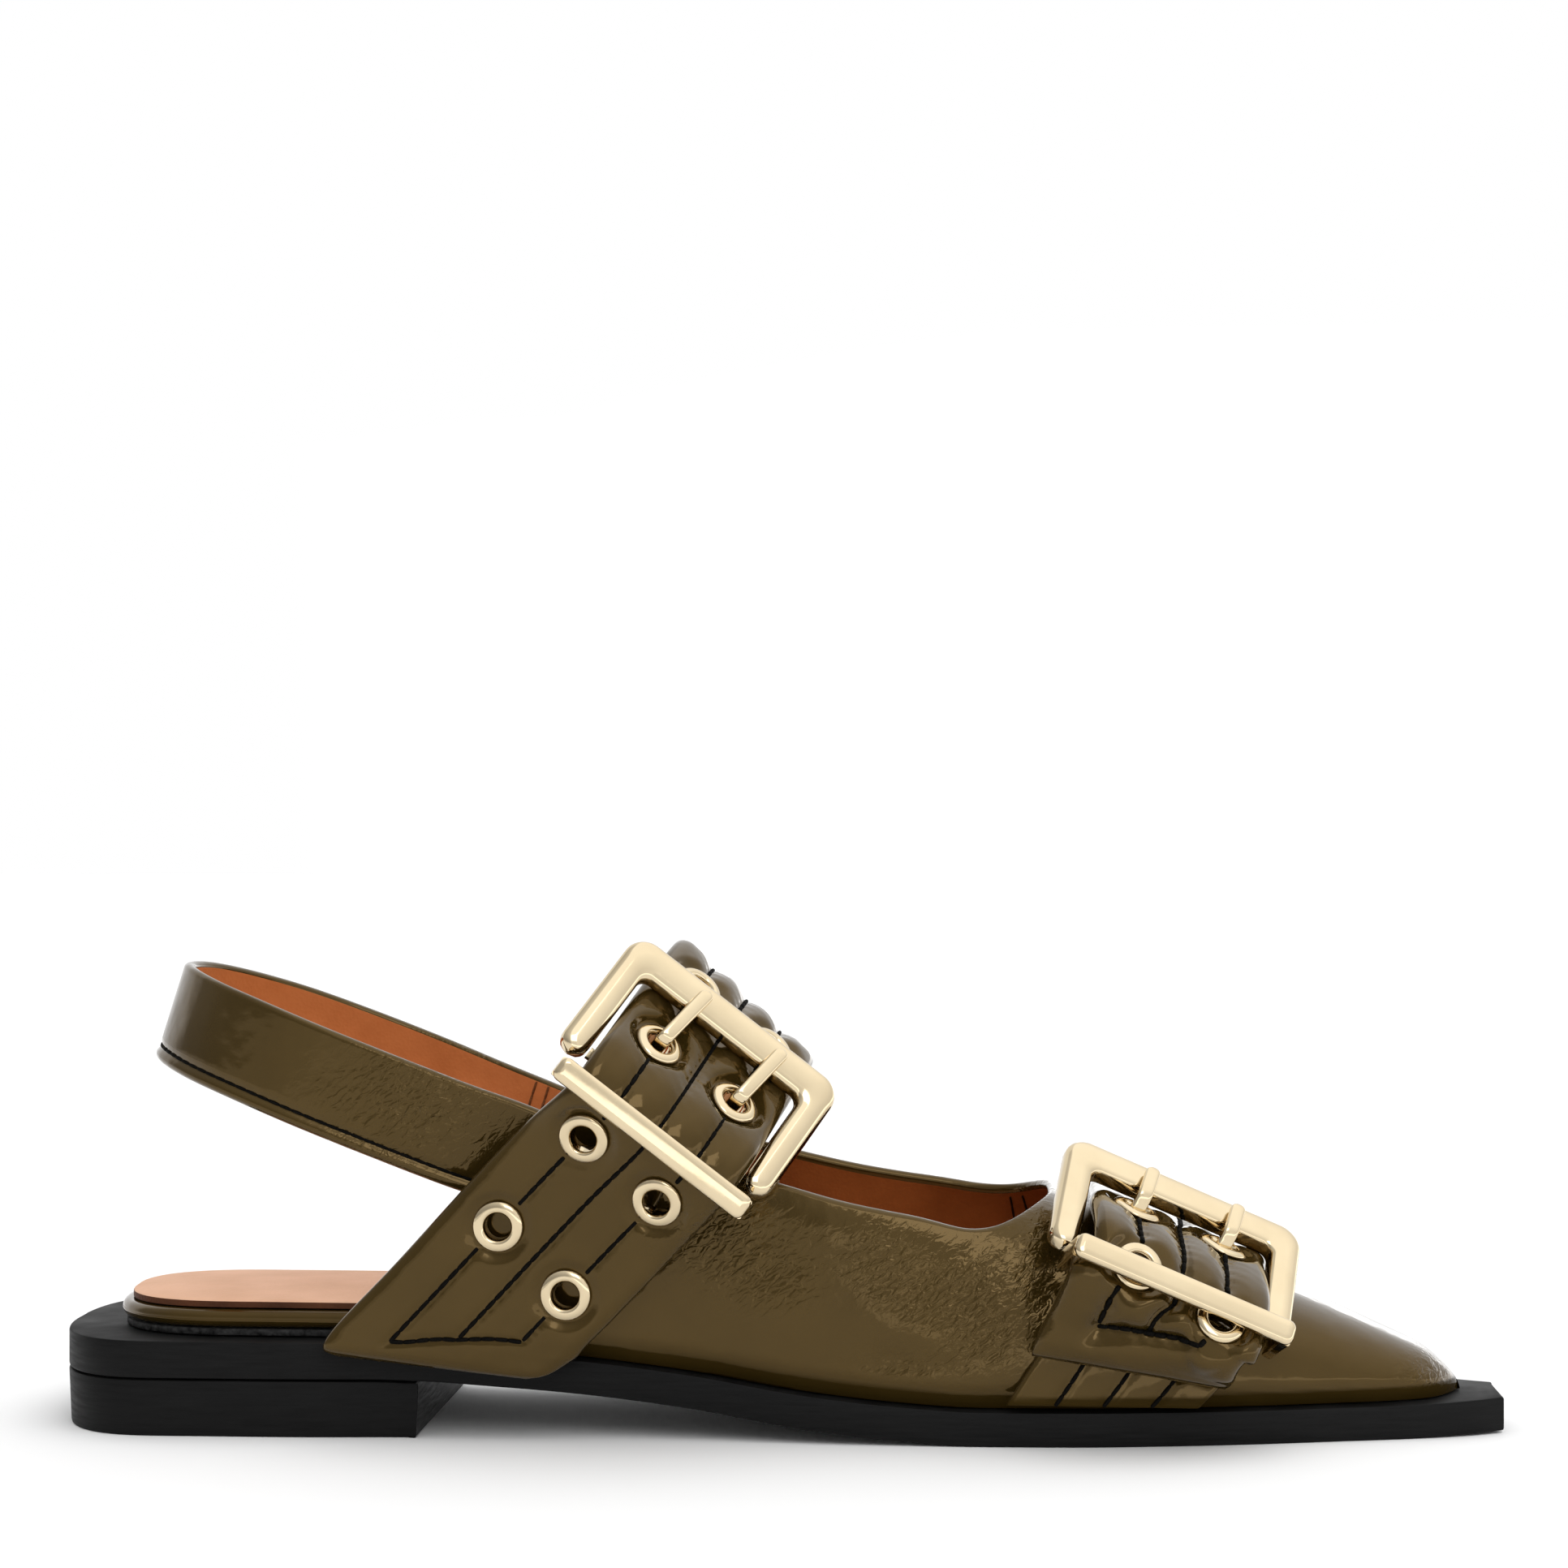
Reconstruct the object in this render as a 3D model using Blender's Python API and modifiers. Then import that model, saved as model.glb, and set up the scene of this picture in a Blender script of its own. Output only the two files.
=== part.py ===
"""Pointed slingback ballet flat with two buckled straps, a right shoe.

Sizes are in millimetres and are scaled to metres when a mesh is made. x runs from the back of
the sole to the toe, -y is the lateral (outer) side, +z is up and the floor is z = 0.
"""
import math

import bmesh
import bpy
from mathutils import Matrix, Vector

for old in list(bpy.data.objects):
    bpy.data.objects.remove(old, do_unlink=True)

MM = 0.001
GAP = 0.3                    # clearance between pieces that touch
SHARP_ANGLE = math.radians(35)        # faces that meet at less than this are shaded smooth
BACK_X = 0.9                 # back of the sole
X_MIDDLE = 135.48            # middle of the whole shoe along x, the part's x = 0
Y_MIDDLE = -2.90             # and across it, the part's y = 0

# Outsole and heel
HEEL_ROUND = 22.0            # length of the rounded back end of the sole
HEEL_POWER = 2.5             # how square that end is
HEEL_BREAST_X = 71.0         # front face of the heel block
HEEL_TAPER = 0.4             # the heel block draws in by this much at the floor
X, LATERAL, MEDIAL = 0, 1, 2
SOLE_OUTLINE = (             # x, half width lateral, half width medial
    (22, 30.5, 30.5),
    (45, 30.5, 30.2),
    (70, 29.3, 28.7),
    (100, 29.0, 27.3),
    (125, 30.0, 28.8),
    (150, 31.8, 33.5),
    (175, 32.2, 38.3),
    (190, 31.8, 39.2),
    (210, 29.2, 36.5),
    (225, 26.2, 31.3),
    (240, 22.4, 24.3),
    (255, 18.6, 14.8),
    (264, 15.4, 8.6),
    (270, 12.0, 4.5),
)
SOLE_TOP, SOLE_BOTTOM = 1, 2
SOLE_PROFILE = (             # x, top height, bottom height
    (0, 17.6, 10.6),
    (60, 17.3, 10.6),
    (72, 16.8, 10.3),
    (83, 15.9, 9.6),
    (100, 14.5, 8.3),
    (121, 12.1, 5.9),
    (140, 9.1, 2.8),
    (158, 7.2, 0.9),
    (174, 6.3, 0.0),
    (245, 6.2, 0.0),
    (270, 6.7, 0.5),
)
SOLE_STATIONS = (30, 45, 60, 71, 83, 100, 121, 140, 150, 158, 167, 174, 184, 194, 205, 217, 229,
                 238, 245, 252, 258, 264, 270)

# Boards inside: black midsole, covered footbed, tan insole
BED_BACK_X = 10.4            # back of the footbed
BED_ROUND = 26.0             # length of its rounded end
BED_OUTLINE = (              # x, half width lateral, half width medial
    (36, 25.4, 21.6),
    (60, 25.0, 22.2),
    (80, 23.4, 21.8),
    (100, 23.2, 21.4),
    (125, 24.2, 22.8),
    (150, 26.0, 27.6),
    (175, 26.5, 32.6),
    (190, 26.0, 33.6),
    (210, 23.4, 30.6),
    (225, 20.2, 25.4),
    (238, 15.6, 18.0),
    (247, 10.5, 10.5),
)
BED_STATIONS = (45, 60, 75, 90, 105, 120, 135, 150, 165, 180, 195, 210, 225, 238, 247)
MIDSOLE_THICK = 1.2
MIDSOLE_INSET = 0.8          # the midsole stands back from the footbed's edge
BED_THICK = 3.2
BED_EDGE = 1.1               # rounding of the footbed's edge
INSOLE_THICK = 1.2
INSOLE_INSET = 2.0
INSOLE_CROWN = 0.9           # padding in the middle
INSOLE_FULL_HALF = 20.0      # half width from which the padding is full
INSOLE_SHARES = (-1.0, -0.75, -0.4, 0.0, 0.4, 0.75, 1.0)      # points across it, as shares of a half

# Last: the form the upper and the straps follow
TOE_X = 262.9                # tip of the upper
NOSE_PLAN = 9.0              # length over which the toe rounds off, from above
NOSE_RISE = 8.0              # and from the side
RIDGE, RIDGE_Y, SIDE, TOP = 3, 4, 5, 6
LAST = (                     # x, half width lateral, medial, ridge height, ridge y, side, top power
    (54, 28.6, 28.2, 122.0, 0.0, 0.36, 0.80),
    (80, 27.7, 26.6, 108.0, 0.0, 0.36, 0.80),
    (100, 27.6, 25.8, 96.0, 0.0, 0.36, 0.80),
    (112, 28.0, 26.3, 86.0, 0.0, 0.36, 0.80),
    (125, 28.7, 27.2, 74.0, 0.0, 0.37, 0.80),
    (137, 29.6, 29.4, 64.5, 0.0, 0.40, 0.80),
    (150, 30.5, 32.0, 57.5, 0.0, 0.43, 0.80),
    (167, 31.0, 36.0, 51.0, 0.0, 0.48, 0.82),
    (187.7, 30.6, 37.8, 43.2, 0.0, 0.54, 0.86),
    (210, 28.0, 35.0, 33.6, 0.0, 0.60, 0.90),
    (225, 25.0, 29.8, 27.6, -0.6, 0.62, 0.90),
    (236, 22.0, 24.8, 23.3, -1.2, 0.62, 0.90),
    (249, 18.2, 17.0, 17.8, -1.9, 0.62, 0.90),
    (258, 15.0, 11.0, 13.8, -2.4, 0.62, 0.90),
    (262.9, 12.4, 7.4, 11.6, -2.6, 0.62, 0.90),
)

# Upper
WALL = 1.9
REAR_X = 66.0                # rear edge of the quarters at the sole
THROAT_X = 187.7             # front of the opening
THROAT_REAR_X = 165.0        # where the throat's curve begins
THROAT_POWER = (None, 2.1, 3.6)       # how square its corners are, lateral and medial
THROAT_HALF = (None, 26.6, 29.6)      # half opening at THROAT_REAR_X, lateral and medial
COLLAR = (                   # x, collar height lateral, medial
    (66, 21.0, 21.0),
    (98, 60.0, 60.0),
    (112, 54.3, 54.8),
    (124, 50.0, 50.6),
    (137, 46.2, 47.2),
    (150, 43.0, 44.2),
    (165, 40.2, 41.6),
)
UPPER_STATIONS = (66, 73, 81, 89, 98, 108, 120, 135, 150, 160, 167, 172.5, 177, 181, 184, 186.4,
                  187.7, 193, 201, 210, 220, 230, 240, 248, 254, 258.4, 261, 262.3, 262.84)
LOW_ROWS = 4                 # faces from the sole to the knee of the wall on each side
HIGH_ROWS = 4                # faces from the knee to the collar or the ridge
KNEE_ANGLE = 44.0
KNEE_SHARE = 0.62            # the knee's share of a low collar
ROW_CROWDING = 1.5           # the high rows draw closer together toward the ridge

# Straps
STRAP_WIDTH = 35.0
STRAP_THICK = 4.2
STITCH_OFFSETS = (-8.7, 0.0, 8.7)     # stitch lines that part the four padded channels
GROOVE_DROP = 1.1            # depth of the channels' valleys
BASE_THICK = 1.8             # fixed strap that holds a buckle
LOOP_WIDTH = 11.0            # its tongue round the pin
LOOP_THICK = 1.0
SLING_WIDTH = 19.2
SLING_THICK = 2.2
PAD_RISE = ((0.0, 0.0), (0.24, 0.9), (0.76, 0.9))     # share of a channel's width, of its height
BACK_EDGE = 1.2              # easing of a padded strap's edges on its back
PLAIN_EASE = 0.3             # easing of a plain strap's edges, as a share of its thickness

# Buckles, drawn about the pin: w along the pin, l toward the top bar, n outward
FRAME_WIDTH = 47.8
FRAME_BAR = 5.6              # width of a leg
FRAME_TOP_BAR = 6.6
FRAME_THICK = 4.0
FRAME_TOP = 25.0             # outer edge of the top bar from the pin
FRAME_FOOT = 2.4             # legs run past the pin by this much
FRAME_CORNER = 4.4
FRAME_INNER_CORNER = 2.0
FRAME_ROUND = 1.3            # rounding of the bar's edges
PIN_RADIUS = 1.2
KEEPER_LENGTH = 42.6
KEEPER_BAR = 4.6
KEEPER_THICK = 2.0
KEEPER_L = -9.0              # middle of the keeper along l
KEEPER_N = 8.4               # under side of the bar
KEEPER_LEAN = 30.0           # its lugs lean in toward the pin by this many degrees
KEEPER_LUG = 9.4             # length of the lugs
PRONG_RADIUS = 0.9
PRONG_FLAT = 0.7             # half of the flat between its rounded edges
PRONG_W = 8.7
PRONG_LOOP = (               # l, n round the pin
    (0.4, 2.15),
    (-1.3, 1.9),
    (-2.3, 0.0),
    (-1.3, -1.9),
    (1.0, -2.4),
)
PRONG_BEND = (               # l, n about the eyelet that the prong goes through
    (-4.2, -3.3),
    (-2.1, -2.7),
    (0.0, 0.0),
    (1.5, 1.9),
)
PRONG_OVER = (3.2, 3.5)      # l from the eyelet, n from the pin, where it leaves the strap
PRONG_REST = ((-6.2, 3.5), (-2.2, 3.2))    # l from the top bar's outer edge, n from the pin
STRAP_AT_PIN = 5.7           # strap's middle from the pin
STRAP_AT_KEEPER = 4.6        # and under the keeper

# Eyelets
EYELET_STEPS = 10
EYELET_PROFILE = (           # radius, height above the strap's middle
    (2.45, -1.9),
    (4.0, -1.9),
    (2.9, -1.35),
    (2.9, 1.05),
    (4.65, 1.05),
    (4.4, 1.7),
    (2.75, 1.95),
)
BORE = 3.2
SEAT_RADIUS = 4.95
SEAT_N = 0.75
BACK_SEAT_RADIUS = 4.3
BACK_SEAT_N = -1.05
CUT_REACH = 6.0


def at(rows, x, column):
    """Smooth value of one column of a table at x, without overshoot."""
    xs = [row[0] for row in rows]
    ys = [row[column] for row in rows]
    if x <= xs[0]:
        return ys[0]
    if x >= xs[-1]:
        return ys[-1]
    steps = [(ys[i + 1] - ys[i]) / (xs[i + 1] - xs[i]) for i in range(len(xs) - 1)]
    slopes = [steps[0]]
    for before, after in zip(steps, steps[1:]):
        slopes.append(0.0 if before * after <= 0 else 2 * before * after / (before + after))
    slopes.append(steps[-1])
    i = max(k for k in range(len(xs) - 1) if xs[k] <= x)
    span = xs[i + 1] - xs[i]
    t = (x - xs[i]) / span
    return (ys[i] * (1 + 2 * t) * (1 - t) ** 2 + ys[i + 1] * t * t * (3 - 2 * t)
            + span * (slopes[i] * t * (1 - t) ** 2 - slopes[i + 1] * t * t * (1 - t)))


def through(rows, parts):
    """Points of a smooth curve through rows of equal length, parts steps to a row."""
    points = []
    last = len(rows) - 1
    for i in range(last):
        a = rows[max(i - 1, 0)]
        b = rows[i]
        c = rows[i + 1]
        d = rows[min(i + 2, last)]
        for k in range(parts):
            t = k / parts
            points.append([
                0.5 * (2 * q + (r - p) * t + (2 * p - 5 * q + 4 * r - s) * t * t
                       + (3 * q - p - 3 * r + s) * t ** 3)
                for p, q, r, s in zip(a, b, c, d)])
    points.append(list(rows[last]))
    return points


def sole_top(x):
    return at(SOLE_PROFILE, x, SOLE_TOP)


def last_point(x, angle, inset=0.0):
    """Point of the last: angle 0 at the lateral seam, 90 on the ridge, 180 at the medial seam."""
    reach = max(TOE_X - inset - x, 0.0)
    plan = math.sqrt(1 - (1 - min(reach / NOSE_PLAN, 1.0)) ** 2)
    height = math.sqrt(1 - (1 - min(reach / NOSE_RISE, 1.0)) ** 2)
    seam = sole_top(x) + GAP
    ridge_y = at(LAST, x, RIDGE_Y)
    rise = (at(LAST, x, RIDGE) - seam - inset) * height
    phi = math.radians(angle if angle <= 90 else 180 - angle)
    out = max(math.cos(phi), 0.0) ** at(LAST, x, SIDE) * plan
    up = math.sin(phi) ** at(LAST, x, TOP)
    if angle <= 90:
        y = ridge_y - (at(LAST, x, LATERAL) + ridge_y - inset) * out
    else:
        y = ridge_y + (at(LAST, x, MEDIAL) - ridge_y - inset) * out
    return Vector((x, y, seam + rise * up))


def last_offset(x, angle, offset):
    """Point at a distance outside the last, square to it."""
    along = last_point(x + 0.5, angle) - last_point(x - 0.5, angle)
    around = last_point(x, angle + 0.5) - last_point(x, angle - 0.5)
    return last_point(x, angle) + around.cross(along).normalized() * -offset


def collar_angle(x, side):
    """Angle at which the upper ends at x on one side."""
    if x >= THROAT_X:
        return 90.0
    if x <= THROAT_REAR_X:
        seam = sole_top(x) + GAP
        share = (at(COLLAR, x, side) - seam) / (at(LAST, x, RIDGE) - seam)
        return math.degrees(math.asin(share ** (1 / at(LAST, x, TOP))))
    ahead = (x - THROAT_REAR_X) / (THROAT_X - THROAT_REAR_X)
    power = THROAT_POWER[side]
    opening = THROAT_HALF[side] * (1 - ahead ** power) ** (1 / power)
    share = opening / at(LAST, x, side)
    return math.degrees(math.acos(share ** (1 / at(LAST, x, SIDE))))


def outline_rows(back_x, rounding, outline, stations):
    """Rows x, lateral, medial of a sole shape with a rounded back end."""
    rows = []
    for degrees in (5, 20, 35, 50, 64, 78, 90):
        theta = math.radians(degrees)
        x = back_x + rounding * (1 - max(math.cos(theta), 0.0) ** (2 / HEEL_POWER))
        share = math.sin(theta) ** (2 / HEEL_POWER)
        rows.append((x, share * outline[0][LATERAL], share * outline[0][MEDIAL]))
    for x in stations:
        rows.append((x, at(outline, x, LATERAL), at(outline, x, MEDIAL)))
    return rows


flat = bpy.data.collections.new("buckle_ballet_flat")
bpy.context.scene.collection.children.link(flat)
cutters = bpy.data.collections.new("cutters")
bpy.context.scene.collection.children.link(cutters)
root = bpy.data.objects.new("shoe", None)
flat.objects.link(root)
root.location = Vector((-X_MIDDLE, -Y_MIDDLE, 0)) * MM


def paint(obj, color, roughness, metallic=0.0):
    material = bpy.data.materials.new(obj.name)
    material.use_nodes = True
    shader = material.node_tree.nodes["Principled BSDF"]
    shader.inputs["Base Color"].default_value = (*color, 1.0)
    shader.inputs["Roughness"].default_value = roughness
    shader.inputs["Metallic"].default_value = metallic
    obj.data.materials.append(material)


PATENT = ((0.115, 0.085, 0.035), 0.25)
TAN = ((0.62, 0.36, 0.21), 0.6)
BLACK = ((0.02, 0.02, 0.02), 0.6)
GOLD = ((0.85, 0.72, 0.48), 0.25, 1.0)


def add(name, data, look, matrix=None, collection=flat):
    obj = bpy.data.objects.new(name, data)
    collection.objects.link(obj)
    obj.parent = root
    if matrix is not None:
        obj.matrix_basis = matrix
    if look:
        paint(obj, *look)
    return obj


def mesh_of(name, points, faces):
    """Closed mesh from points in millimetres, normals outward."""
    mesh = bpy.data.meshes.new(name)
    mesh.from_pydata([tuple(Vector(p) * MM) for p in points], [], faces)
    form = bmesh.new()
    form.from_mesh(mesh)
    bmesh.ops.recalc_face_normals(form, faces=form.faces)
    form.to_mesh(mesh)
    form.free()
    mesh.shade_smooth()
    mesh.set_sharp_from_angle(angle=SHARP_ANGLE)
    return mesh


def loft(name, rings):
    """Mesh through closed rings of equal length, capped at both ends."""
    size = len(rings[0])
    points = [p for ring in rings for p in ring]
    faces = []
    for i in range(len(rings) - 1):
        for j in range(size):
            k = (j + 1) % size
            faces.append((i * size + j, i * size + k, (i + 1) * size + k, (i + 1) * size + j))
    faces.append(tuple(range(size)))
    faces.append(tuple(len(points) - size + j for j in range(size)))
    return mesh_of(name, points, faces)


def slab(name, rows, top, bottom, look):
    """Board between two heights over an outline; top and bottom are functions of x."""
    rings = []
    for x, lateral, medial in rows:
        rings.append(((x, -lateral, top(x)), (x, medial, top(x)),
                      (x, medial, bottom(x)), (x, -lateral, bottom(x))))
    return add(name, loft(name, rings), look)


# Sole
sole_rows = outline_rows(BACK_X, HEEL_ROUND, SOLE_OUTLINE, SOLE_STATIONS)
slab("outsole", sole_rows, sole_top, lambda x: at(SOLE_PROFILE, x, SOLE_BOTTOM), BLACK)

heel_rings = []
for x, lateral, medial in sole_rows:
    if x <= HEEL_BREAST_X:
        top = at(SOLE_PROFILE, x, SOLE_BOTTOM) - GAP
        foot_x = x + HEEL_TAPER * (1 - 2 * x / HEEL_BREAST_X)
        heel_rings.append(((x, -lateral, top), (x, medial, top),
                           (foot_x, medial - HEEL_TAPER, 0), (foot_x, HEEL_TAPER - lateral, 0)))
add("heel_block", loft("heel_block", heel_rings), BLACK)

# Boards inside the shoe
bed_rows = outline_rows(BED_BACK_X, BED_ROUND, BED_OUTLINE, BED_STATIONS)
midsole_low = GAP
midsole_high = midsole_low + MIDSOLE_THICK
bed_low = midsole_high + GAP
bed_high = bed_low + BED_THICK
insole_low = bed_high + GAP
insole_high = insole_low + INSOLE_THICK


def bed_inset(inset):
    """Rows of the footbed's outline drawn in by inset all round."""
    front = bed_rows[-1][X]
    back = bed_rows[0][X]
    heel = BED_OUTLINE[0]
    rows = []
    for x, lateral, medial in bed_rows:
        share = (x - back) / (front - back)
        rows.append((x + inset * (1 - 2 * share),
                     lateral - inset * min(lateral / heel[LATERAL], 1.0),
                     medial - inset * min(medial / heel[MEDIAL], 1.0)))
    return rows


slab("midsole", bed_inset(MIDSOLE_INSET),
     lambda x: sole_top(x) + midsole_high, lambda x: sole_top(x) + midsole_low, BLACK)

bed_rings = []
for full, inner in zip(bed_rows, bed_inset(BED_EDGE)):
    low = sole_top(full[X]) + bed_low
    high = sole_top(full[X]) + bed_high
    bed_rings.append((
        (inner[X], -inner[LATERAL], high), (inner[X], inner[MEDIAL], high),
        (full[X], full[MEDIAL], high - BED_EDGE), (full[X], full[MEDIAL], low + BED_EDGE),
        (inner[X], inner[MEDIAL], low), (inner[X], -inner[LATERAL], low),
        (full[X], -full[LATERAL], low + BED_EDGE), (full[X], -full[LATERAL], high - BED_EDGE)))
add("footbed", loft("footbed", bed_rings), PATENT)

insole_rings = []
for x, lateral, medial in bed_inset(INSOLE_INSET):
    low = sole_top(x) + insole_low
    high = sole_top(x) + insole_high
    ring = []
    for share in INSOLE_SHARES:
        half = lateral if share < 0 else medial
        pad = INSOLE_CROWN * (1 - share * share) * min(half / INSOLE_FULL_HALF, 1.0)
        ring.append((x, share * half, high + pad))
    ring.append((x, medial, low))
    ring.append((x, -lateral, low))
    insole_rings.append(ring)
add("insole", loft("insole", insole_rings), TAN)

# Upper: an outer and an inner skin on the last, joined along every free edge
UPPER_ROWS = LOW_ROWS + HIGH_ROWS


def row_angle(end, j):
    """Angle of row j of the upper where its edge is at the angle end."""
    knee = min(KNEE_ANGLE, KNEE_SHARE * end)
    if j <= LOW_ROWS:
        return knee * j / LOW_ROWS
    return knee + (end - knee) * (1 - (1 - (j - LOW_ROWS) / HIGH_ROWS) ** ROW_CROWDING)


upper_points = []
upper_index = {}
for skin, inset in enumerate((0.0, WALL)):
    for i, x in enumerate(UPPER_STATIONS):
        share = (x - REAR_X) / (TOE_X - REAR_X)
        place = x - inset * share
        for side in (LATERAL, MEDIAL):
            end = collar_angle(x, side)
            for j in range(UPPER_ROWS + 1):
                if side == MEDIAL and j == UPPER_ROWS and x >= THROAT_X:
                    upper_index[skin, i, side, j] = upper_index[skin, i, LATERAL, j]
                    continue
                angle = row_angle(end, j)
                if side == MEDIAL:
                    angle = 180 - angle
                upper_index[skin, i, side, j] = len(upper_points)
                upper_points.append(last_point(place, angle, inset))

upper_faces = []
stations = range(len(UPPER_STATIONS) - 1)
tip = len(UPPER_STATIONS) - 1
throat = UPPER_STATIONS.index(THROAT_X)
for skin in (0, 1):
    for side in (LATERAL, MEDIAL):
        for i in stations:
            for j in range(UPPER_ROWS):
                upper_faces.append([upper_index[skin, a, side, b]
                                    for a, b in ((i, j), (i + 1, j), (i + 1, j + 1), (i, j + 1))])
    arch = [upper_index[skin, tip, LATERAL, j] for j in range(UPPER_ROWS + 1)]
    arch += [upper_index[skin, tip, MEDIAL, j] for j in range(UPPER_ROWS - 1, -1, -1)]
    upper_faces.append(arch)
for side in (LATERAL, MEDIAL):
    for i in stations:
        edges = [0] if i >= throat else [0, UPPER_ROWS]
        for j in edges:
            upper_faces.append([upper_index[s, a, side, j]
                                for s, a in ((0, i), (0, i + 1), (1, i + 1), (1, i))])
    for j in range(UPPER_ROWS):
        upper_faces.append([upper_index[s, 0, side, b] for s, b in ((0, j), (0, j + 1), (1, j + 1), (1, j))])
upper_faces.append([upper_index[s, tip, side, 0]
                    for s, side in ((0, LATERAL), (0, MEDIAL), (1, MEDIAL), (1, LATERAL))])
add("upper", mesh_of("upper", upper_points, upper_faces), PATENT)


def width_axis(pitch, flare):
    """Direction across a strap: pitch is its fall toward the toe, flare its turn to +y."""
    fall = math.radians(pitch)
    turn = math.radians(flare)
    return Vector((math.cos(fall) * math.cos(turn), math.cos(fall) * math.sin(turn), -math.sin(fall)))


def pitch_and_flare(across):
    """The pitch and flare of a direction, the reverse of width_axis."""
    return (math.degrees(math.asin(-across.z / across.length)),
            math.degrees(math.atan2(across.y, across.x)))


def flat_section(width, thick):
    """Ring w, n of a plain strap with eased edges."""
    half = width / 2
    ease = thick * PLAIN_EASE
    return ((-half + ease, thick / 2), (half - ease, thick / 2), (half, 0.0),
            (half - ease, -thick / 2), (-half + ease, -thick / 2), (-half, 0.0))


def padded_section(width, thick):
    """Ring w, n of a strap quilted into channels on its outer face."""
    half = width / 2
    seams = (-half,) + STITCH_OFFSETS + (half,)
    drop = GROOVE_DROP * thick / STRAP_THICK
    ring = []
    for a, b in zip(seams, seams[1:]):
        for t, lift in PAD_RISE:
            ring.append((a + (b - a) * t, thick / 2 - drop * (1 - lift)))
    ring.append((half, thick / 2 - drop))
    side = -thick / 2 + BACK_EDGE
    ring += [(half, side), (half - BACK_EDGE, -thick / 2), (0.0, -thick / 2),
             (BACK_EDGE - half, -thick / 2), (-half, side)]
    return ring


def strap_frames(rows, parts):
    """Frames along a strap from rows x, y, z, pitch, flare, slant, width, thick."""
    samples = through(rows, parts)
    frames = []
    for i, row in enumerate(samples):
        ahead = Vector(samples[min(i + 1, len(samples) - 1)][:3])
        behind = Vector(samples[max(i - 1, 0)][:3])
        along = (ahead - behind).normalized()
        across = width_axis(row[3], row[4])
        out = across.cross(along).normalized()
        frames.append((Vector(row[:3]), along, across, out, row[5], row[6], row[7]))
    return frames


def strap_mesh(name, frames, section):
    rings = []
    for middle, along, across, out, slant, width, thick in frames:
        rings.append([middle + across * w + along * (slant * w) + out * n for w, n in section(width, thick)])
    return loft(name, rings)


class Buckle:
    """Place of a buckle: its pin's middle, the directions w, l and n, and l, n of the prongs' eyelets."""

    def __init__(self, pin, top, pitch, flare, eyelet):
        self.eyelet = eyelet
        self.pin = Vector(pin)
        self.w = width_axis(pitch, flare)
        rise = Vector(top) - self.pin
        self.l = (rise - self.w * rise.dot(self.w)).normalized()
        self.n = self.w.cross(self.l)

    def point(self, l, n, w=0.0):
        return self.pin + self.l * l + self.n * n + self.w * w

    def matrix(self, l=0.0, n=0.0, w=0.0):
        place = Matrix.Translation(self.point(l, n, w) * MM)
        turn = Matrix((self.w, self.l, self.n)).transposed().to_4x4()
        return place @ turn

    def row(self, l, n, width=STRAP_WIDTH, thick=STRAP_THICK, turn=0.0):
        """Row of a strap at l, n, its cross line turned away from the pin's in the buckle's plane."""
        across = self.w * math.cos(math.radians(turn)) - self.l * math.sin(math.radians(turn))
        return (*self.point(l, n), *pitch_and_flare(across), 0.0, width, thick)


instep_buckle = Buckle(pin=(116.8, -31.8, 59.9), top=(128.9, -19.6, 76.7), pitch=38.0, flare=5.4,
                       eyelet=(8.6, 1.0))
toe_buckle = Buckle(pin=(207.8, -28.4, 29.4), top=(211.4, -9.6, 43.8), pitch=23.5, flare=8.5,
                    eyelet=(12.6, 0.1))


def lying_row(x, angle, clear, slant, width, thick, turn=0.0):
    """Row of a strap that lies on the last, clear of it, its cross line turned about the wall."""
    fore = last_point(x + width * 0.4, angle)
    aft = last_point(x - width * 0.4, angle)
    pitch, flare = pitch_and_flare(fore - aft)
    return (*last_offset(x, angle, clear + thick / 2), pitch + turn, flare, slant, width, thick)


# Straps, from the free tail through the buckle and over the foot to the medial seam:
# x, y, z, pitch, flare, slant of the cross line, width, thick
INSTEP_ROWS = (
    (74.1, -33.8, 13.7, 43.5, 0.0, 0.80, 27.0, 2.6),
    (75.3, -33.9, 14.9, 43.5, 0.0, 0.80, 33.0, 3.4),
    (78.2, -34.0, 18.0, 43.5, 0.0, 0.76, 35.6, 3.8),
    (84.8, -34.3, 25.0, 44.5, 0.0, 0.42, 35.5, 4.2),
    (93.6, -34.9, 34.4, 45.0, 0.0, 0.08, 36.0, 4.2),
    (104.2, -36.3, 45.5, 44.5, 2.0, 0.0, 36.0, 4.2),
    instep_buckle.row(KEEPER_L, STRAP_AT_KEEPER),
    instep_buckle.row(0.0, STRAP_AT_PIN),
    instep_buckle.row(*instep_buckle.eyelet),
    instep_buckle.row(20.0, -5.0),
    (128.4, -1.0, 77.6, 42.0, 0.0, 0.0, 35.0, 4.2),
    (126.2, 14.5, 74.8, 42.0, 0.0, 0.0, 35.0, 4.2),
    (121.0, 24.4, 67.6, 42.0, 0.0, 0.0, 35.0, 4.2),
    (112.5, 29.0, 57.5, 42.0, 0.0, 0.0, 35.0, 4.0),
    (100.5, 30.3, 43.5, 42.0, 0.0, 0.0, 35.0, 3.6),
    (89.5, 29.9, 30.5, 42.0, 0.0, -0.45, 35.0, 2.8),
    (81.0, 29.2, 20.4, 42.0, 0.0, -0.72, 34.0, 2.0),
    (78.6, 29.0, 17.8, 42.0, 0.0, -0.80, 34.0, 2.0),
)
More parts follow.
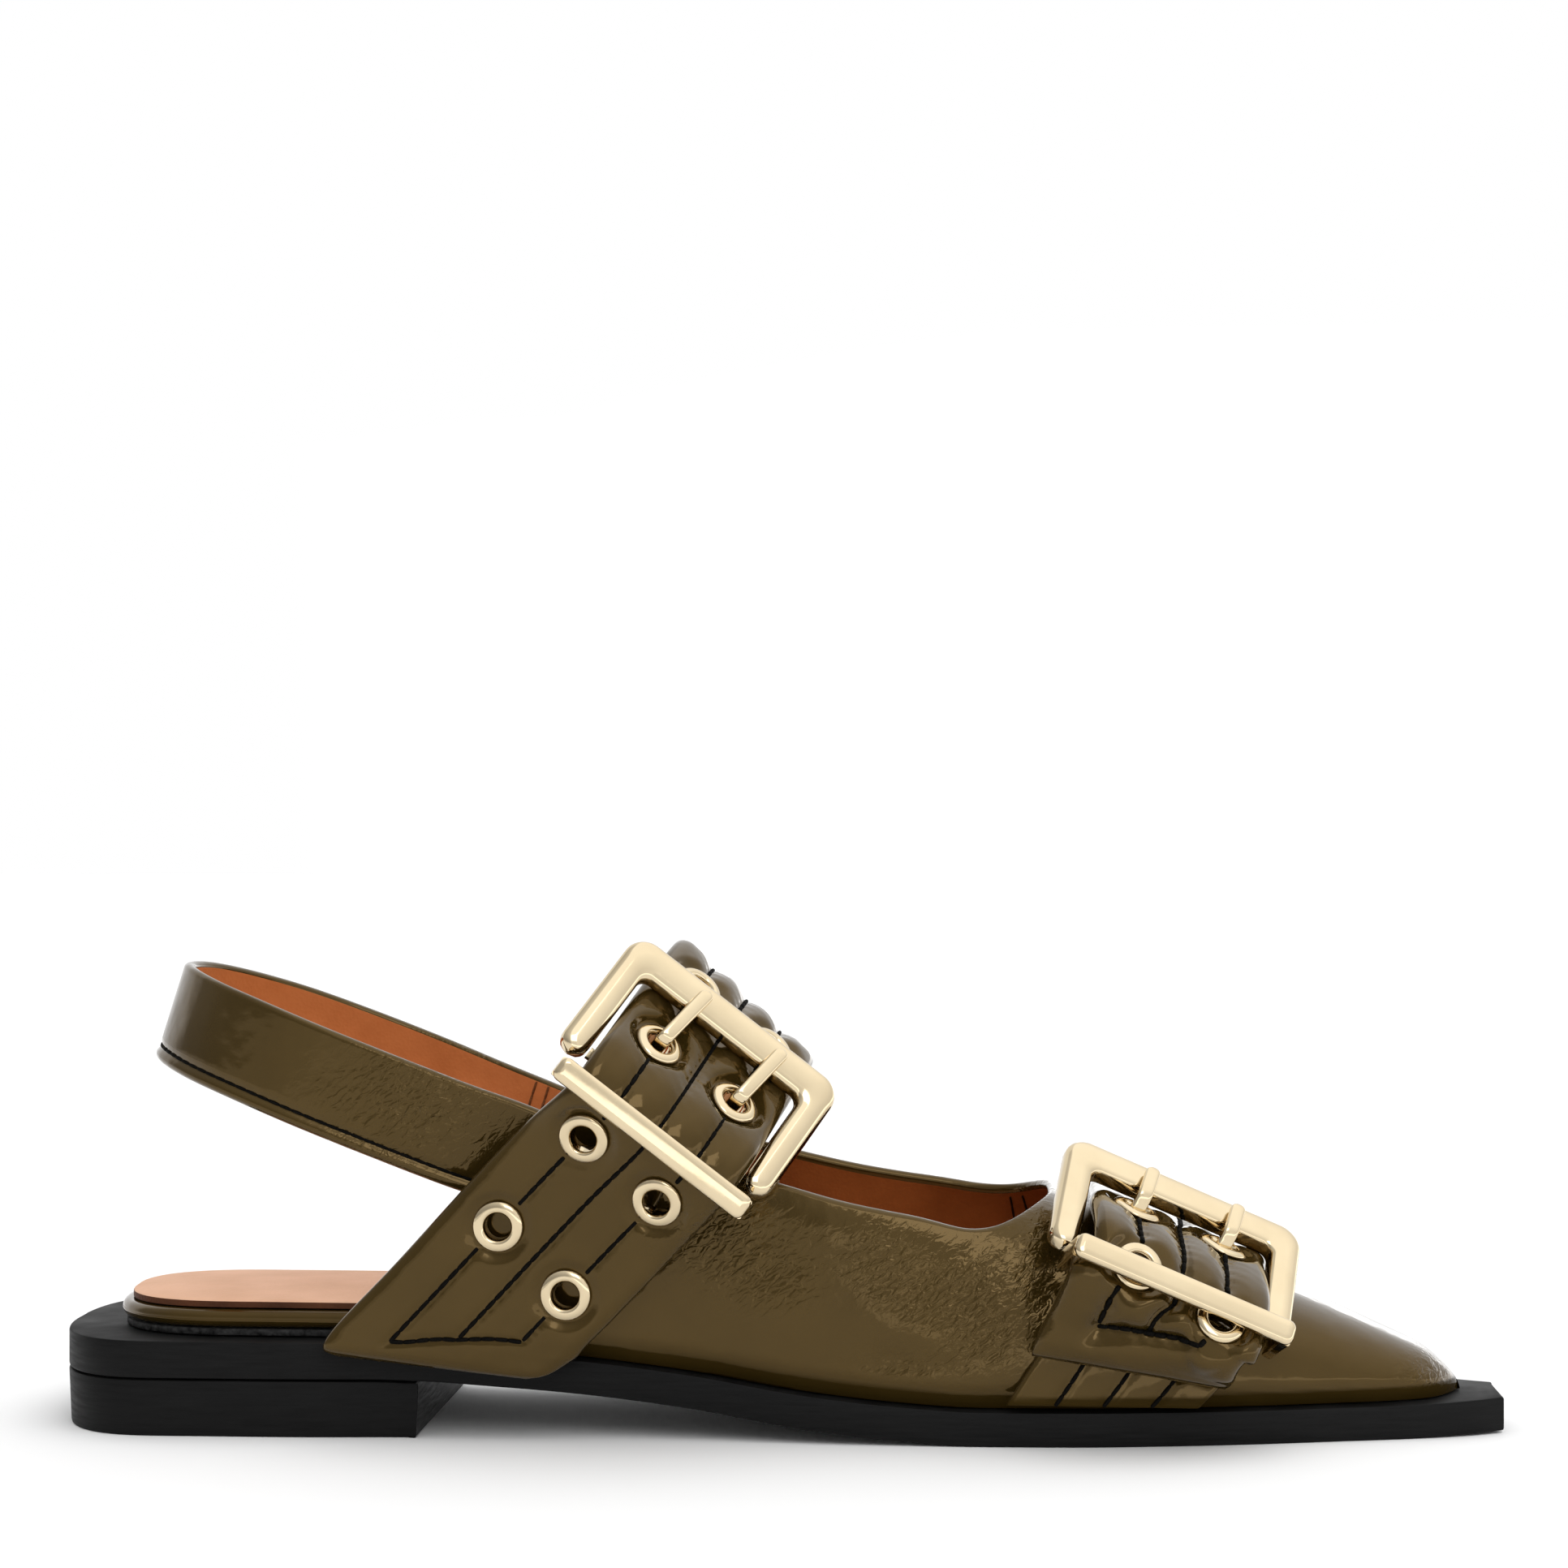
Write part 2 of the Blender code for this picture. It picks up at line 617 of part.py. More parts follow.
TOE_ROWS = (
    (200.2, -35.9, 14.4, 29.0, 6.0, 0.34, 27.5, 2.8),
    (200.8, -36.1, 15.8, 29.0, 6.0, 0.33, 33.5, 3.6),
    (202.2, -36.8, 18.8, 32.0, 5.0, 0.24, 35.4, 4.0),
    (205.2, -39.3, 25.0, 34.0, 2.0, 0.08, 35.0, 4.2),
    toe_buckle.row(KEEPER_L, STRAP_AT_KEEPER, turn=15.0),
    toe_buckle.row(0.0, STRAP_AT_PIN, turn=5.0),
    toe_buckle.row(*toe_buckle.eyelet),
    lying_row(209.5, 84.0, 0.8, 0.0, 35.0, 4.2),
    lying_row(209.5, 106.0, 0.7, 0.0, 35.0, 4.0),
    lying_row(208.0, 130.0, 0.6, 0.0, 35.0, 3.6),
    lying_row(205.0, 150.0, 0.6, 0.0, 35.0, 2.8),
    lying_row(201.0, 166.0, 0.6, 0.0, 35.0, 2.2),
    lying_row(199.0, 176.0, 0.6, 0.0, 35.0, 2.0),
)
INSTEP_EYELETS = (-49.8, -25.8, 0.0, 22.4)    # pairs of eyelets along the strap from the prongs
TOE_EYELETS = (-21.2, 0.0)


def runs(frames):
    """Distance of every frame along the strap."""
    distances = [0.0]
    for before, after in zip(frames, frames[1:]):
        distances.append(distances[-1] + (after[0] - before[0]).length)
    return distances


def turned(rings_rh, place, out, steps):
    """Rings of a turned body about an axis, from radius and height pairs."""
    side = out.orthogonal().normalized()
    other = out.cross(side)
    rings = []
    for radius, height in rings_rh:
        ring = []
        for k in range(steps):
            turn = 2 * math.pi * k / steps
            ring.append(place + out * height + (side * math.cos(turn) + other * math.sin(turn)) * radius)
        rings.append(ring)
    return rings


BORE_PROFILE = (
    (BACK_SEAT_RADIUS, -CUT_REACH),
    (BACK_SEAT_RADIUS, BACK_SEAT_N),
    (BORE, BACK_SEAT_N),
    (BORE, SEAT_N),
    (SEAT_RADIUS, SEAT_N),
    (SEAT_RADIUS, CUT_REACH),
)


def eyelet(name, place, out):
    """Turned eyelet: a closed profile carried round the hole's axis."""
    mesh = bpy.data.meshes.new(name)
    size = len(EYELET_PROFILE)
    edges = [(k, (k + 1) % size) for k in range(size)]
    mesh.from_pydata([(r * MM, 0.0, h * MM) for r, h in EYELET_PROFILE], edges, [])
    side = out.orthogonal().normalized()
    turn = Matrix((side, out.cross(side), out)).transposed().to_4x4()
    obj = add(name, mesh, GOLD, Matrix.Translation(place * MM) @ turn)
    screw = obj.modifiers.new("turn", "SCREW")
    screw.steps = EYELET_STEPS
    screw.render_steps = EYELET_STEPS
    screw.use_merge_vertices = True
    screw.merge_threshold = 0.00001
    screw.use_normal_flip = True


def strap(name, rows, buckle, pairs, parts):
    """Padded strap with its eyelets and their holes."""
    frames = strap_frames(rows, parts)
    band = add(name, strap_mesh(name, frames, padded_section), PATENT)
    fine = strap_frames(rows, parts * 6)
    distances = runs(fine)
    hole = buckle.point(*buckle.eyelet)
    prong_run = distances[min(range(len(fine)), key=lambda i: (fine[i][0] - hole).length)]
    for pair, offset in enumerate(pairs):
        nearest = min(range(len(fine)), key=lambda i: abs(distances[i] - prong_run - offset))
        middle, along, across, out = fine[nearest][:4]
        for side, w in (("rear", STITCH_OFFSETS[0]), ("front", STITCH_OFFSETS[-1])):
            place = middle + across * w
            eyelet("%s_eyelet_%d_%s" % (name, pair + 1, side), place, out)
            label = "%s_bore_%d_%s" % (name, pair + 1, side)
            cutter = add(label, loft(label, turned(BORE_PROFILE, place, out, EYELET_STEPS)), None,
                         collection=cutters)
            cutter.hide_render = True
            cutter.display_type = "WIRE"
            cut = band.modifiers.new(label, "BOOLEAN")
            cut.operation = "DIFFERENCE"
            cut.solver = "EXACT"
            cut.object = cutter


strap("instep_strap", INSTEP_ROWS, instep_buckle, INSTEP_EYELETS, 2)
strap("toe_strap", TOE_ROWS, toe_buckle, TOE_EYELETS, 2)


TONGUE = (                   # l, n of a fixed strap's tongue, up behind the pin and over it
    (-3.4, -2.9),
    (-1.4, -2.0),
    (0.6, -2.0),
    (1.95, -0.8),
    (1.95, 0.8),
    (0.6, 2.0),
)


def loop_rows(buckle):
    return tuple(buckle.row(l, n, LOOP_WIDTH, LOOP_THICK) for l, n in TONGUE)


INSTEP_BASE = (
    lying_row(83.0, 2.5, 0.7, 0.75, 22.0, BASE_THICK, turn=40.0),
    lying_row(88.0, 8.0, 0.7, 0.55, 24.0, BASE_THICK, turn=36.0),
    lying_row(97.0, 16.0, 0.7, 0.15, 25.0, BASE_THICK, turn=30.0),
    lying_row(106.5, 24.0, 0.7, 0.0, 24.0, BASE_THICK, turn=22.0),
) + loop_rows(instep_buckle)
TOE_BASE = (
    lying_row(196.0, 1.0, 0.6, 0.0, 35.0, BASE_THICK),
    lying_row(198.0, 9.0, 0.6, 0.0, 35.0, BASE_THICK),
    lying_row(201.5, 21.0, 0.6, 0.0, 34.0, BASE_THICK),
    lying_row(204.6, 34.0, 0.6, 0.0, 28.0, BASE_THICK),
) + loop_rows(toe_buckle)
for name, rows in (("instep_strap_base", INSTEP_BASE), ("toe_strap_base", TOE_BASE)):
    add(name, strap_mesh(name, strap_frames(rows, 2), flat_section), PATENT)

# Slingback strap, from the lateral quarter round the heel to the medial one
SLING_SIDE = (               # x, lateral y, medial y, z
    (94.0, -23.2, 21.5, 48.8),
    (86.0, -23.6, 22.1, 52.0),
    (77.0, -25.0, 24.2, 55.3),
    (64.0, -26.2, 26.0, 60.4),
    (50.0, -25.6, 25.6, 65.8),
    (38.5, -22.8, 22.8, 70.2),
    (28.8, -17.4, 17.4, 73.6),
    (22.2, -9.3, 9.3, 75.8),
)
SLING_BACK = (19.8, 0.0, 76.4)
SLING_PITCH = -72.5
sling_points = [(x, y, z) for x, y, _, z in SLING_SIDE] + [SLING_BACK]
sling_points += [(x, y, z) for x, _, y, z in reversed(SLING_SIDE)]
sling_rows = [(*p, SLING_PITCH, 0.0, 0.0, SLING_WIDTH, SLING_THICK) for p in sling_points]
add("slingback_strap", strap_mesh("slingback_strap", strap_frames(sling_rows, 2), flat_section), PATENT)


def rounded(corners, steps=3):
    """Outline through corners x, y, radius; a radius of 0 keeps the corner sharp."""
    outline = []
    count = len(corners)
    for i, (x, y, radius) in enumerate(corners):
        here = Vector((x, y))
        if radius == 0:
            outline.append(here)
            continue
        before = (Vector(corners[i - 1][:2]) - here).normalized()
        after = (Vector(corners[(i + 1) % count][:2]) - here).normalized()
        centre = here + (before + after) * radius
        for k in range(steps + 1):
            turn = k / steps * math.pi / 2
            outline.append(centre - after * radius * math.cos(turn) - before * radius * math.sin(turn))
    return outline


def plate(name, outline, thick, edge, look, matrix):
    """Flat piece: an outline given a thickness and rounded edges."""
    curve = bpy.data.curves.new(name, "CURVE")
    curve.dimensions = "2D"
    curve.fill_mode = "BOTH"
    curve.extrude = (thick / 2 - edge) * MM
    curve.bevel_depth = edge * MM
    curve.bevel_resolution = 1
    curve.offset = -edge * MM
    line = curve.splines.new("POLY")
    line.points.add(len(outline) - 1)
    for point, corner in zip(line.points, outline):
        point.co = (corner[0] * MM, corner[1] * MM, 0.0, 1.0)
    line.use_cyclic_u = True
    return add(name, curve, look, matrix)


def frame_outline():
    half = FRAME_WIDTH / 2
    inner = half - FRAME_BAR
    foot = FRAME_BAR / 2 - 0.3
    return rounded((
        (-half, -FRAME_FOOT, foot), (-inner, -FRAME_FOOT, foot),
        (-inner, FRAME_TOP - FRAME_TOP_BAR, FRAME_INNER_CORNER),
        (inner, FRAME_TOP - FRAME_TOP_BAR, FRAME_INNER_CORNER),
        (inner, -FRAME_FOOT, foot), (half, -FRAME_FOOT, foot),
        (half, FRAME_TOP, FRAME_CORNER), (-half, FRAME_TOP, FRAME_CORNER)))


def keeper_outline():
    half = KEEPER_LENGTH / 2
    inner = half - KEEPER_THICK
    return rounded((
        (-half, -KEEPER_LUG, 0.0), (-inner, -KEEPER_LUG, 0.0),
        (-inner, 0.0, 0.7), (inner, 0.0, 0.7),
        (inner, -KEEPER_LUG, 0.0), (half, -KEEPER_LUG, 0.0),
        (half, KEEPER_THICK, 1.6), (-half, KEEPER_THICK, 1.6)))


def prong(name, buckle, w):
    """Prong: a flattened wire looped on the pin, up through its eyelet and over the top bar."""
    curve = bpy.data.curves.new(name, "CURVE")
    curve.dimensions = "3D"
    curve.twist_mode = "Z_UP"
    curve.fill_mode = "FULL"
    curve.bevel_depth = PRONG_RADIUS * MM
    curve.bevel_resolution = 1
    curve.extrude = PRONG_FLAT * MM
    curve.use_fill_caps = True
    hole_l, hole_n = buckle.eyelet
    path = list(PRONG_LOOP)
    path += [(hole_l + l, hole_n + n) for l, n in PRONG_BEND]
    path.append((hole_l + PRONG_OVER[0], PRONG_OVER[1]))
    path += [(FRAME_TOP + l, n) for l, n in PRONG_REST]
    line = curve.splines.new("POLY")
    line.points.add(len(path) - 1)
    for point, (l, n) in zip(line.points, path):
        point.co = (l * MM, n * MM, 0.0, 1.0)
    place = Matrix.Translation(buckle.point(0.0, 0.0, w) * MM)
    turn = Matrix((buckle.l, buckle.n, buckle.w)).transposed().to_4x4()
    add(name, curve, GOLD, place @ turn)


def buckle_set(label, buckle):
    plate(label + "_buckle_frame", frame_outline(), FRAME_THICK, FRAME_ROUND, GOLD, buckle.matrix())
    stand = buckle.matrix(l=KEEPER_L, n=KEEPER_N) @ Matrix.Rotation(math.radians(90 + KEEPER_LEAN), 4, "X")
    plate(label + "_keeper", keeper_outline(), KEEPER_BAR, 0.4, GOLD, stand)
    pin = bpy.data.meshes.new(label + "_pin")
    form = bmesh.new()
    bmesh.ops.create_cone(form, cap_ends=True, segments=12, radius1=PIN_RADIUS * MM, radius2=PIN_RADIUS * MM,
                          depth=(FRAME_WIDTH - 2 * FRAME_BAR - 2 * GAP) * MM)
    form.to_mesh(pin)
    form.free()
    lie = buckle.matrix() @ Matrix.Rotation(math.radians(90), 4, "Y")
    add(label + "_pin", pin, GOLD, lie)
    prong(label + "_prong_rear", buckle, -PRONG_W)
    prong(label + "_prong_front", buckle, PRONG_W)


buckle_set("instep", instep_buckle)
buckle_set("toe", toe_buckle)
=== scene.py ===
"""Looks of the pointed slingback flat: fine meshes over the CAD model, stitches, materials, light, camera.

Sizes are in millimetres in the shoe's own axes (x from the back of the sole to the toe, -y the
lateral side, +z up from the floor) until place() turns them into the frame's metres.
"""
import functools
import math
from collections import namedtuple

import bmesh
import bpy
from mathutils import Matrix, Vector, noise

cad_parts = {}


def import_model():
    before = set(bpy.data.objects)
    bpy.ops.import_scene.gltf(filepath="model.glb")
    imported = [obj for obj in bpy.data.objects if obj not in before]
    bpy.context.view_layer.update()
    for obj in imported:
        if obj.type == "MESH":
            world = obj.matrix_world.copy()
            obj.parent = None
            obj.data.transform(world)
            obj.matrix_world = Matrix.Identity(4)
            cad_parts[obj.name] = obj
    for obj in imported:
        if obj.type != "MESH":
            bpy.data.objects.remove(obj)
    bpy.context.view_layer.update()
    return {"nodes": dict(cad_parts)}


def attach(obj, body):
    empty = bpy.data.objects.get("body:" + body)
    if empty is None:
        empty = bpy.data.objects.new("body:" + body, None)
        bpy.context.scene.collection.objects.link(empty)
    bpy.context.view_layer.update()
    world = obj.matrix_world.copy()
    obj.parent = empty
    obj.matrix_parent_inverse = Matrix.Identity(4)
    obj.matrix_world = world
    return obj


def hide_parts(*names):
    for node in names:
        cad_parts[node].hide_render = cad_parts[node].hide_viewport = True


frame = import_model()

MM = 0.001
GAP = 0.3                    # clearance between pieces that touch
X_MIDDLE = 135.48            # the frame's x = 0
Y_MIDDLE = -2.90             # the frame's y = 0
X, LATERAL, MEDIAL = 0, 1, 2
OUTSIDE, INSIDE = 0, 1

# Sole
BACK_X = 0.9
FRONT_X = 270.0
HEEL_ROUND = 22.0            # length of the rounded back end
HEEL_POWER = 2.5
HEEL_BREAST_X = 71.0
HEEL_TAPER = 0.4
SOLE_RIM = ((0.45, 0.0), (0.14, 0.12), (0.0, 0.42))      # inset, distance from the face
HEEL_FOOT_RIM = ((HEEL_TAPER + 0.45, 0.0), (HEEL_TAPER + 0.1, 0.1), (HEEL_TAPER, 0.4))
SOLE_OUTLINE = (             # x, half width lateral, half width medial
    (22, 30.5, 30.5),
    (45, 30.5, 30.2),
    (70, 29.3, 28.7),
    (100, 29.0, 27.3),
    (125, 30.0, 28.8),
    (150, 31.8, 33.5),
    (175, 32.2, 38.3),
    (190, 31.8, 39.2),
    (210, 29.2, 36.5),
    (225, 26.2, 31.3),
    (240, 22.4, 24.3),
    (255, 18.6, 14.8),
    (264, 15.4, 8.6),
    (270, 12.0, 4.5),
)
SOLE_TOP, SOLE_BOTTOM = 1, 2
SOLE_PROFILE = (             # x, top height, bottom height
    (0, 17.6, 10.6),
    (60, 17.3, 10.6),
    (72, 16.8, 10.3),
    (83, 15.9, 9.6),
    (100, 14.5, 8.3),
    (121, 12.1, 5.9),
    (140, 9.1, 2.8),
    (158, 7.2, 0.9),
    (174, 6.3, 0.0),
    (245, 6.2, 0.0),
    (270, 6.7, 0.5),
)

# Boards inside: black midsole, covered footbed, tan insole
BED_BACK_X = 10.4
BED_FRONT_X = 247.0
BED_ROUND = 26.0
BED_OUTLINE = (              # x, half width lateral, half width medial
    (36, 25.4, 21.6),
    (60, 25.0, 22.2),
    (80, 23.4, 21.8),
    (100, 23.2, 21.4),
    (125, 24.2, 22.8),
    (150, 26.0, 27.6),
    (175, 26.5, 32.6),
    (190, 26.0, 33.6),
    (210, 23.4, 30.6),
    (225, 20.2, 25.4),
    (238, 15.6, 18.0),
    (247, 10.5, 10.5),
)
MIDSOLE_THICK = 1.2
MIDSOLE_INSET = 0.8
MIDSOLE_RIM = ((0.1, 0.0), (0.0, 0.1))
BED_THICK = 3.2
BED_EDGE = 1.5               # rounding of the footbed's edge
INSOLE_THICK = 1.2
INSOLE_INSET = 2.0
INSOLE_RIM = ((0.35, 0.0), (0.08, 0.12), (0.0, 0.35))
INSOLE_UNDER_RIM = ((0.0, 0.0),)
INSOLE_SHARES = 25           # points across the insole's face
INSOLE_CROWN = 0.9
INSOLE_FULL_HALF = 20.0      # half width from which the crown has its full height

# Last: the form the upper and the straps follow
TOE_X = 262.9
NOSE_PLAN = 9.0              # length over which the toe rounds off in plan
NOSE_RISE = 8.0              # and in height
SLOPE_STEP = 0.5             # half step, along x and in degrees, over which its slope is taken
LAST = (                     # x, half width lateral, medial, ridge height, ridge y, side, top power
    (54, 28.6, 28.2, 122.0, 0.0, 0.36, 0.80),
    (80, 27.7, 26.6, 108.0, 0.0, 0.36, 0.80),
    (100, 27.6, 25.8, 96.0, 0.0, 0.36, 0.80),
    (112, 28.0, 26.3, 86.0, 0.0, 0.36, 0.80),
    (125, 28.7, 27.2, 74.0, 0.0, 0.37, 0.80),
    (137, 29.6, 29.4, 64.5, 0.0, 0.40, 0.80),
    (150, 30.5, 32.0, 57.5, 0.0, 0.43, 0.80),
    (167, 31.0, 36.0, 51.0, 0.0, 0.48, 0.82),
    (187.7, 30.6, 37.8, 43.2, 0.0, 0.54, 0.86),
    (210, 28.0, 35.0, 33.6, 0.0, 0.60, 0.90),
    (225, 25.0, 29.8, 27.6, -0.6, 0.62, 0.90),
    (236, 22.0, 24.8, 23.3, -1.2, 0.62, 0.90),
    (249, 18.2, 17.0, 17.8, -1.9, 0.62, 0.90),
    (258, 15.0, 11.0, 13.8, -2.4, 0.62, 0.90),
    (262.9, 12.4, 7.4, 11.6, -2.6, 0.62, 0.90),
)

# Upper
WALL = 1.9
REAR_X = 66.0
THROAT_X = 187.7
THROAT_REAR_X = 165.0
THROAT_POWER = (None, 2.9, 3.6)       # of the throat's curve, by side
THROAT_HALF = (None, 26.7, 29.6)      # half width of the throat where it begins, by side
COLLAR_BLEND = 4.0           # reach over which the collar's line is evened out
COLLAR_SAMPLES = 9
THROAT_BLEND = 0.3           # share of the way to the throat that the reach may take up
COLLAR = (                   # x, collar height lateral, medial
    (66, 21.0, 21.0),
    (98, 60.0, 60.0),
    (112, 54.3, 54.8),
    (124, 50.0, 50.6),
    (137, 46.2, 47.2),
    (150, 42.5, 44.2),
    (165, 39.8, 41.6),
)
REAR_STATIONS, THROAT_STATIONS, VAMP_STATIONS, NOSE_STATIONS = 76, 30, 50, 14
LOW_ROWS = 20                # rows from the sole up to the knee, where the wall turns over
HIGH_ROWS = 24               # rows from the knee to the collar
UPPER_ROWS = LOW_ROWS + HIGH_ROWS
KNEE_ANGLE = 44.0
KNEE_SHARE = 0.62            # largest share of the collar's angle below the knee
ROW_CROWDING = 1.3           # rows stand closer near the collar
SEAM_CROWDING = 1.8          # rows stand closer near the sole
TUCK_HEIGHT = 4.4            # the wall is drawn in above the sole over this height
TUCK_DEPTH = 2.0
TUCK_POWER = 1.25
FEATHER = 3.3                # height of the painted shade, a dimmed gloss, where the upper meets the sole
FEATHER_FADE = 0.7
RIM_STEPS = 6                # faces round the folded edge of the collar
RIM_LEAN = Vector((-0.4, 0.0, 0.0))   # tips the edge's outward side back at the throat
FOLD_ROWS = 1                # rows inside the collar that the patent leather is folded over
CREASES = (                  # on the lateral wall: x, z, heading, half length, half width, depth
    (150.0, 41.0, -12.0, 24.0, 7.5, -0.80),
    (166.0, 27.0, -38.0, 20.0, 5.0, 0.35),
    (172.0, 35.0, 38.0, 7.0, 1.3, 0.16),
    (176.5, 33.0, 40.0, 8.0, 1.2, 0.18),
    (180.0, 30.0, 42.0, 7.0, 1.2, 0.16),
    (173.0, 29.0, 36.0, 7.0, 1.3, 0.14),
    (126.0, 40.0, 28.0, 8.0, 1.4, 0.16),
    (131.0, 35.0, 26.0, 9.0, 1.4, 0.18),
    (137.0, 31.0, 24.0, 8.0, 1.5, 0.14),
    (161.0, 15.5, -6.0, 14.0, 3.0, 0.22),
    (187.5, 29.0, 64.0, 13.0, 4.5, 1.20),
    (256.0, 12.0, -40.0, 4.0, 0.9, 0.15),
    (258.5, 11.0, -42.0, 4.0, 0.9, 0.15),
)
CRINKLES = (                 # where the grain is drawn up: x, z, reach along x, along z, strength
    (127.0, 38.0, 9.0, 7.0, 1.0),
    (135.0, 31.0, 8.0, 6.0, 0.8),
    (156.0, 35.0, 7.0, 6.0, 0.6),
    (165.0, 27.0, 8.0, 5.0, 0.8),
    (176.0, 31.0, 8.0, 7.0, 0.5),
    (174.0, 19.0, 7.0, 4.0, 0.7),
    (160.0, 14.5, 9.0, 2.5, 0.6),
    (184.0, 34.0, 4.0, 10.0, 0.6),
    (256.0, 11.5, 5.0, 3.0, 0.8),
    (68.0, 60.0, 13.0, 9.0, 1.0),
)

# Straps
STRAP_WIDTH = 35.0
STRAP_THICK = 4.2
STITCH_OFFSETS = (-8.7, 0.0, 8.7)
CHANNEL_HALF = 4.35          # half width of a padded channel
GROOVE_DROP = 1.1            # depth of the groove between two full channels
PAD_EDGE = 3.0               # rounding of a padded strap's edges
PAD_BACK_EDGE = 1.4          # and of its back
PAD_SHARES, BASE_SHARES, SLING_SHARES = 61, 41, 37       # points across the outer face
BASE_THICK = 1.8
LOOP_WIDTH = 11.0
LOOP_THICK = 1.0
SLING_WIDTH = 19.2
SLING_THICK = 2.2
STEP = 0.65                  # length of a strap's faces
BAND_PARTS = 24              # steps to a row before a strap is laid out at even steps
OUTER_EDGE, INNER_EDGE = 1.0, 0.8     # rounding of an unpadded strap's edges
LYING_SHARE = 0.4            # share of the width, to both sides, over which a strap follows the last

# Buckles, drawn about the pin: w along the pin, l toward the top bar, n outward
FRAME_WIDTH = 47.8
FRAME_BAR = 5.6
FRAME_TOP_BAR = 6.6
FRAME_TOP = 25.0
FRAME_FOOT = 2.4
FRAME_CORNER = 4.4
FRAME_INNER_CORNER = 2.0
FRAME_FOOT_LEAST = 0.12      # share of the bar's width left at the very end of a foot
FRAME_FOOT_THICK = 0.4       # share of its thickness left there
SIDE_STATIONS, CORNER_STATIONS, TOP_STATIONS = 30, 13, 16
KEEPER_LENGTH = 42.6
KEEPER_BAR = 4.6
KEEPER_THICK = 2.0
KEEPER_L = -9.0
KEEPER_N = 8.4
KEEPER_LEAN = 22.0
KEEPER_LUG = 9.4
KEEPER_CORNER = 1.5
KEEPER_CORNER_STEPS = 10
PRONG_HALF = 1.4             # half width of a prong
PRONG_LEAN = 0.12            # drift toward the toe along the prong
PRONG_THICK = 0.85           # half of its thickness
PRONG_TIP_LEAST = 0.15       # share of the width left at the very tip
PRONG_TIP_THICK = 0.5        # share of the thickness left toward the tip
PRONG_SQUARENESS = 0.5       # a low power makes the bar's section squarer
PRONG_PARTS = 12             # steps to a row of its path
PRONG_W = 8.7
PRONG_LOOP = (               # l, n round the pin
    (0.4, 2.15),
    (-1.3, 1.9),
    (-2.3, 0.0),
    (-1.3, -1.9),
    (1.0, -2.4),
)
PRONG_BEND = (               # l, n about the eyelet that the prong goes through
    (-4.2, -3.3),
    (-2.1, -2.7),
    (0.0, 0.0),
    (1.5, 1.9),
)
PRONG_OVER = (3.2, 3.5)
PRONG_REST = ((-6.2, 3.5), (-2.2, 3.2))
PRONG_FACES = 28
STRAP_AT_PIN = 5.7           # n of the strap's middle over the pin
STRAP_AT_KEEPER = 4.6        # and under the keeper

# Eyelets
EYELET_STEPS = 40
EYELET_PROFILE = (           # radius, height above the strap's middle, round the metal
    (2.45, -1.6),
    (2.6, -1.9),
    (3.9, -1.9),
    (4.0, -1.75),
    (2.9, -1.35),
    (2.9, 1.05),
    (4.58, 1.05),
    (4.65, 1.2),
    (4.58, 1.42),
    (4.35, 1.64),
    (3.95, 1.82),
    (3.5, 1.93),
    (3.1, 1.94),
    (2.78, 1.8),
    (2.54, 1.45),
    (2.45, 0.95),
)
BORE = 3.05
BORE_REACH = 7.0
BORE_STEPS = 32
SEAT_N = 0.8                 # height of the leather under the eyelet's rim
SEAT_RADIUS = 4.75
SEAT_REACH = 7.0             # the leather is drawn in up to here from the eyelet's axis
BACK_SEAT_N = -1.1
BACK_SEAT_RADIUS = 4.3
BACK_SEAT_REACH = 6.0
SEAT_HEIGHT = 4.0            # how much farther than its reach a seat acts along the eyelet's axis


class Curve:
    """Smooth curve through one column of a table, without overshoot."""

    def __init__(self, rows, column):
        self.xs = [row[0] for row in rows]
        self.ys = [row[column] for row in rows]
        pairs = list(zip(self.xs, self.ys))
        steps = [(y2 - y1) / (x2 - x1) for (x1, y1), (x2, y2) in zip(pairs, pairs[1:])]
        self.slopes = [steps[0]]
        for before, after in zip(steps, steps[1:]):
            self.slopes.append(0.0 if before * after <= 0 else 2 * before * after / (before + after))
        self.slopes.append(steps[-1])

    def __call__(self, x):
        xs = self.xs
        ys = self.ys
        if x <= xs[0]:
            return ys[0]
        if x >= xs[-1]:
            return ys[-1]
        i = max(k for k in range(len(xs) - 1) if xs[k] <= x)
        span = xs[i + 1] - xs[i]
        t = (x - xs[i]) / span
        return (ys[i] * (1 + 2 * t) * (1 - t) ** 2 + ys[i + 1] * t * t * (3 - 2 * t)
                + span * (self.slopes[i] * t * (1 - t) ** 2 - self.slopes[i + 1] * t * t * (1 - t)))


sole_top = Curve(SOLE_PROFILE, SOLE_TOP)
sole_bottom = Curve(SOLE_PROFILE, SOLE_BOTTOM)
last_curves = [Curve(LAST, column) for column in range(1, 7)]
collar_curves = (None, Curve(COLLAR, LATERAL), Curve(COLLAR, MEDIAL))


def spread(start, stop, count):
    """Values from start to stop, both included."""
    return [start + (stop - start) * k / (count - 1) for k in range(count)]


def between(start, stop, share):
    """Value at a share of the way from start to stop."""
    return start + (stop - start) * share


def ease(t):
    """Smooth step from 0 to 1."""
    t = min(max(t, 0.0), 1.0)
    return t * t * (3 - 2 * t)


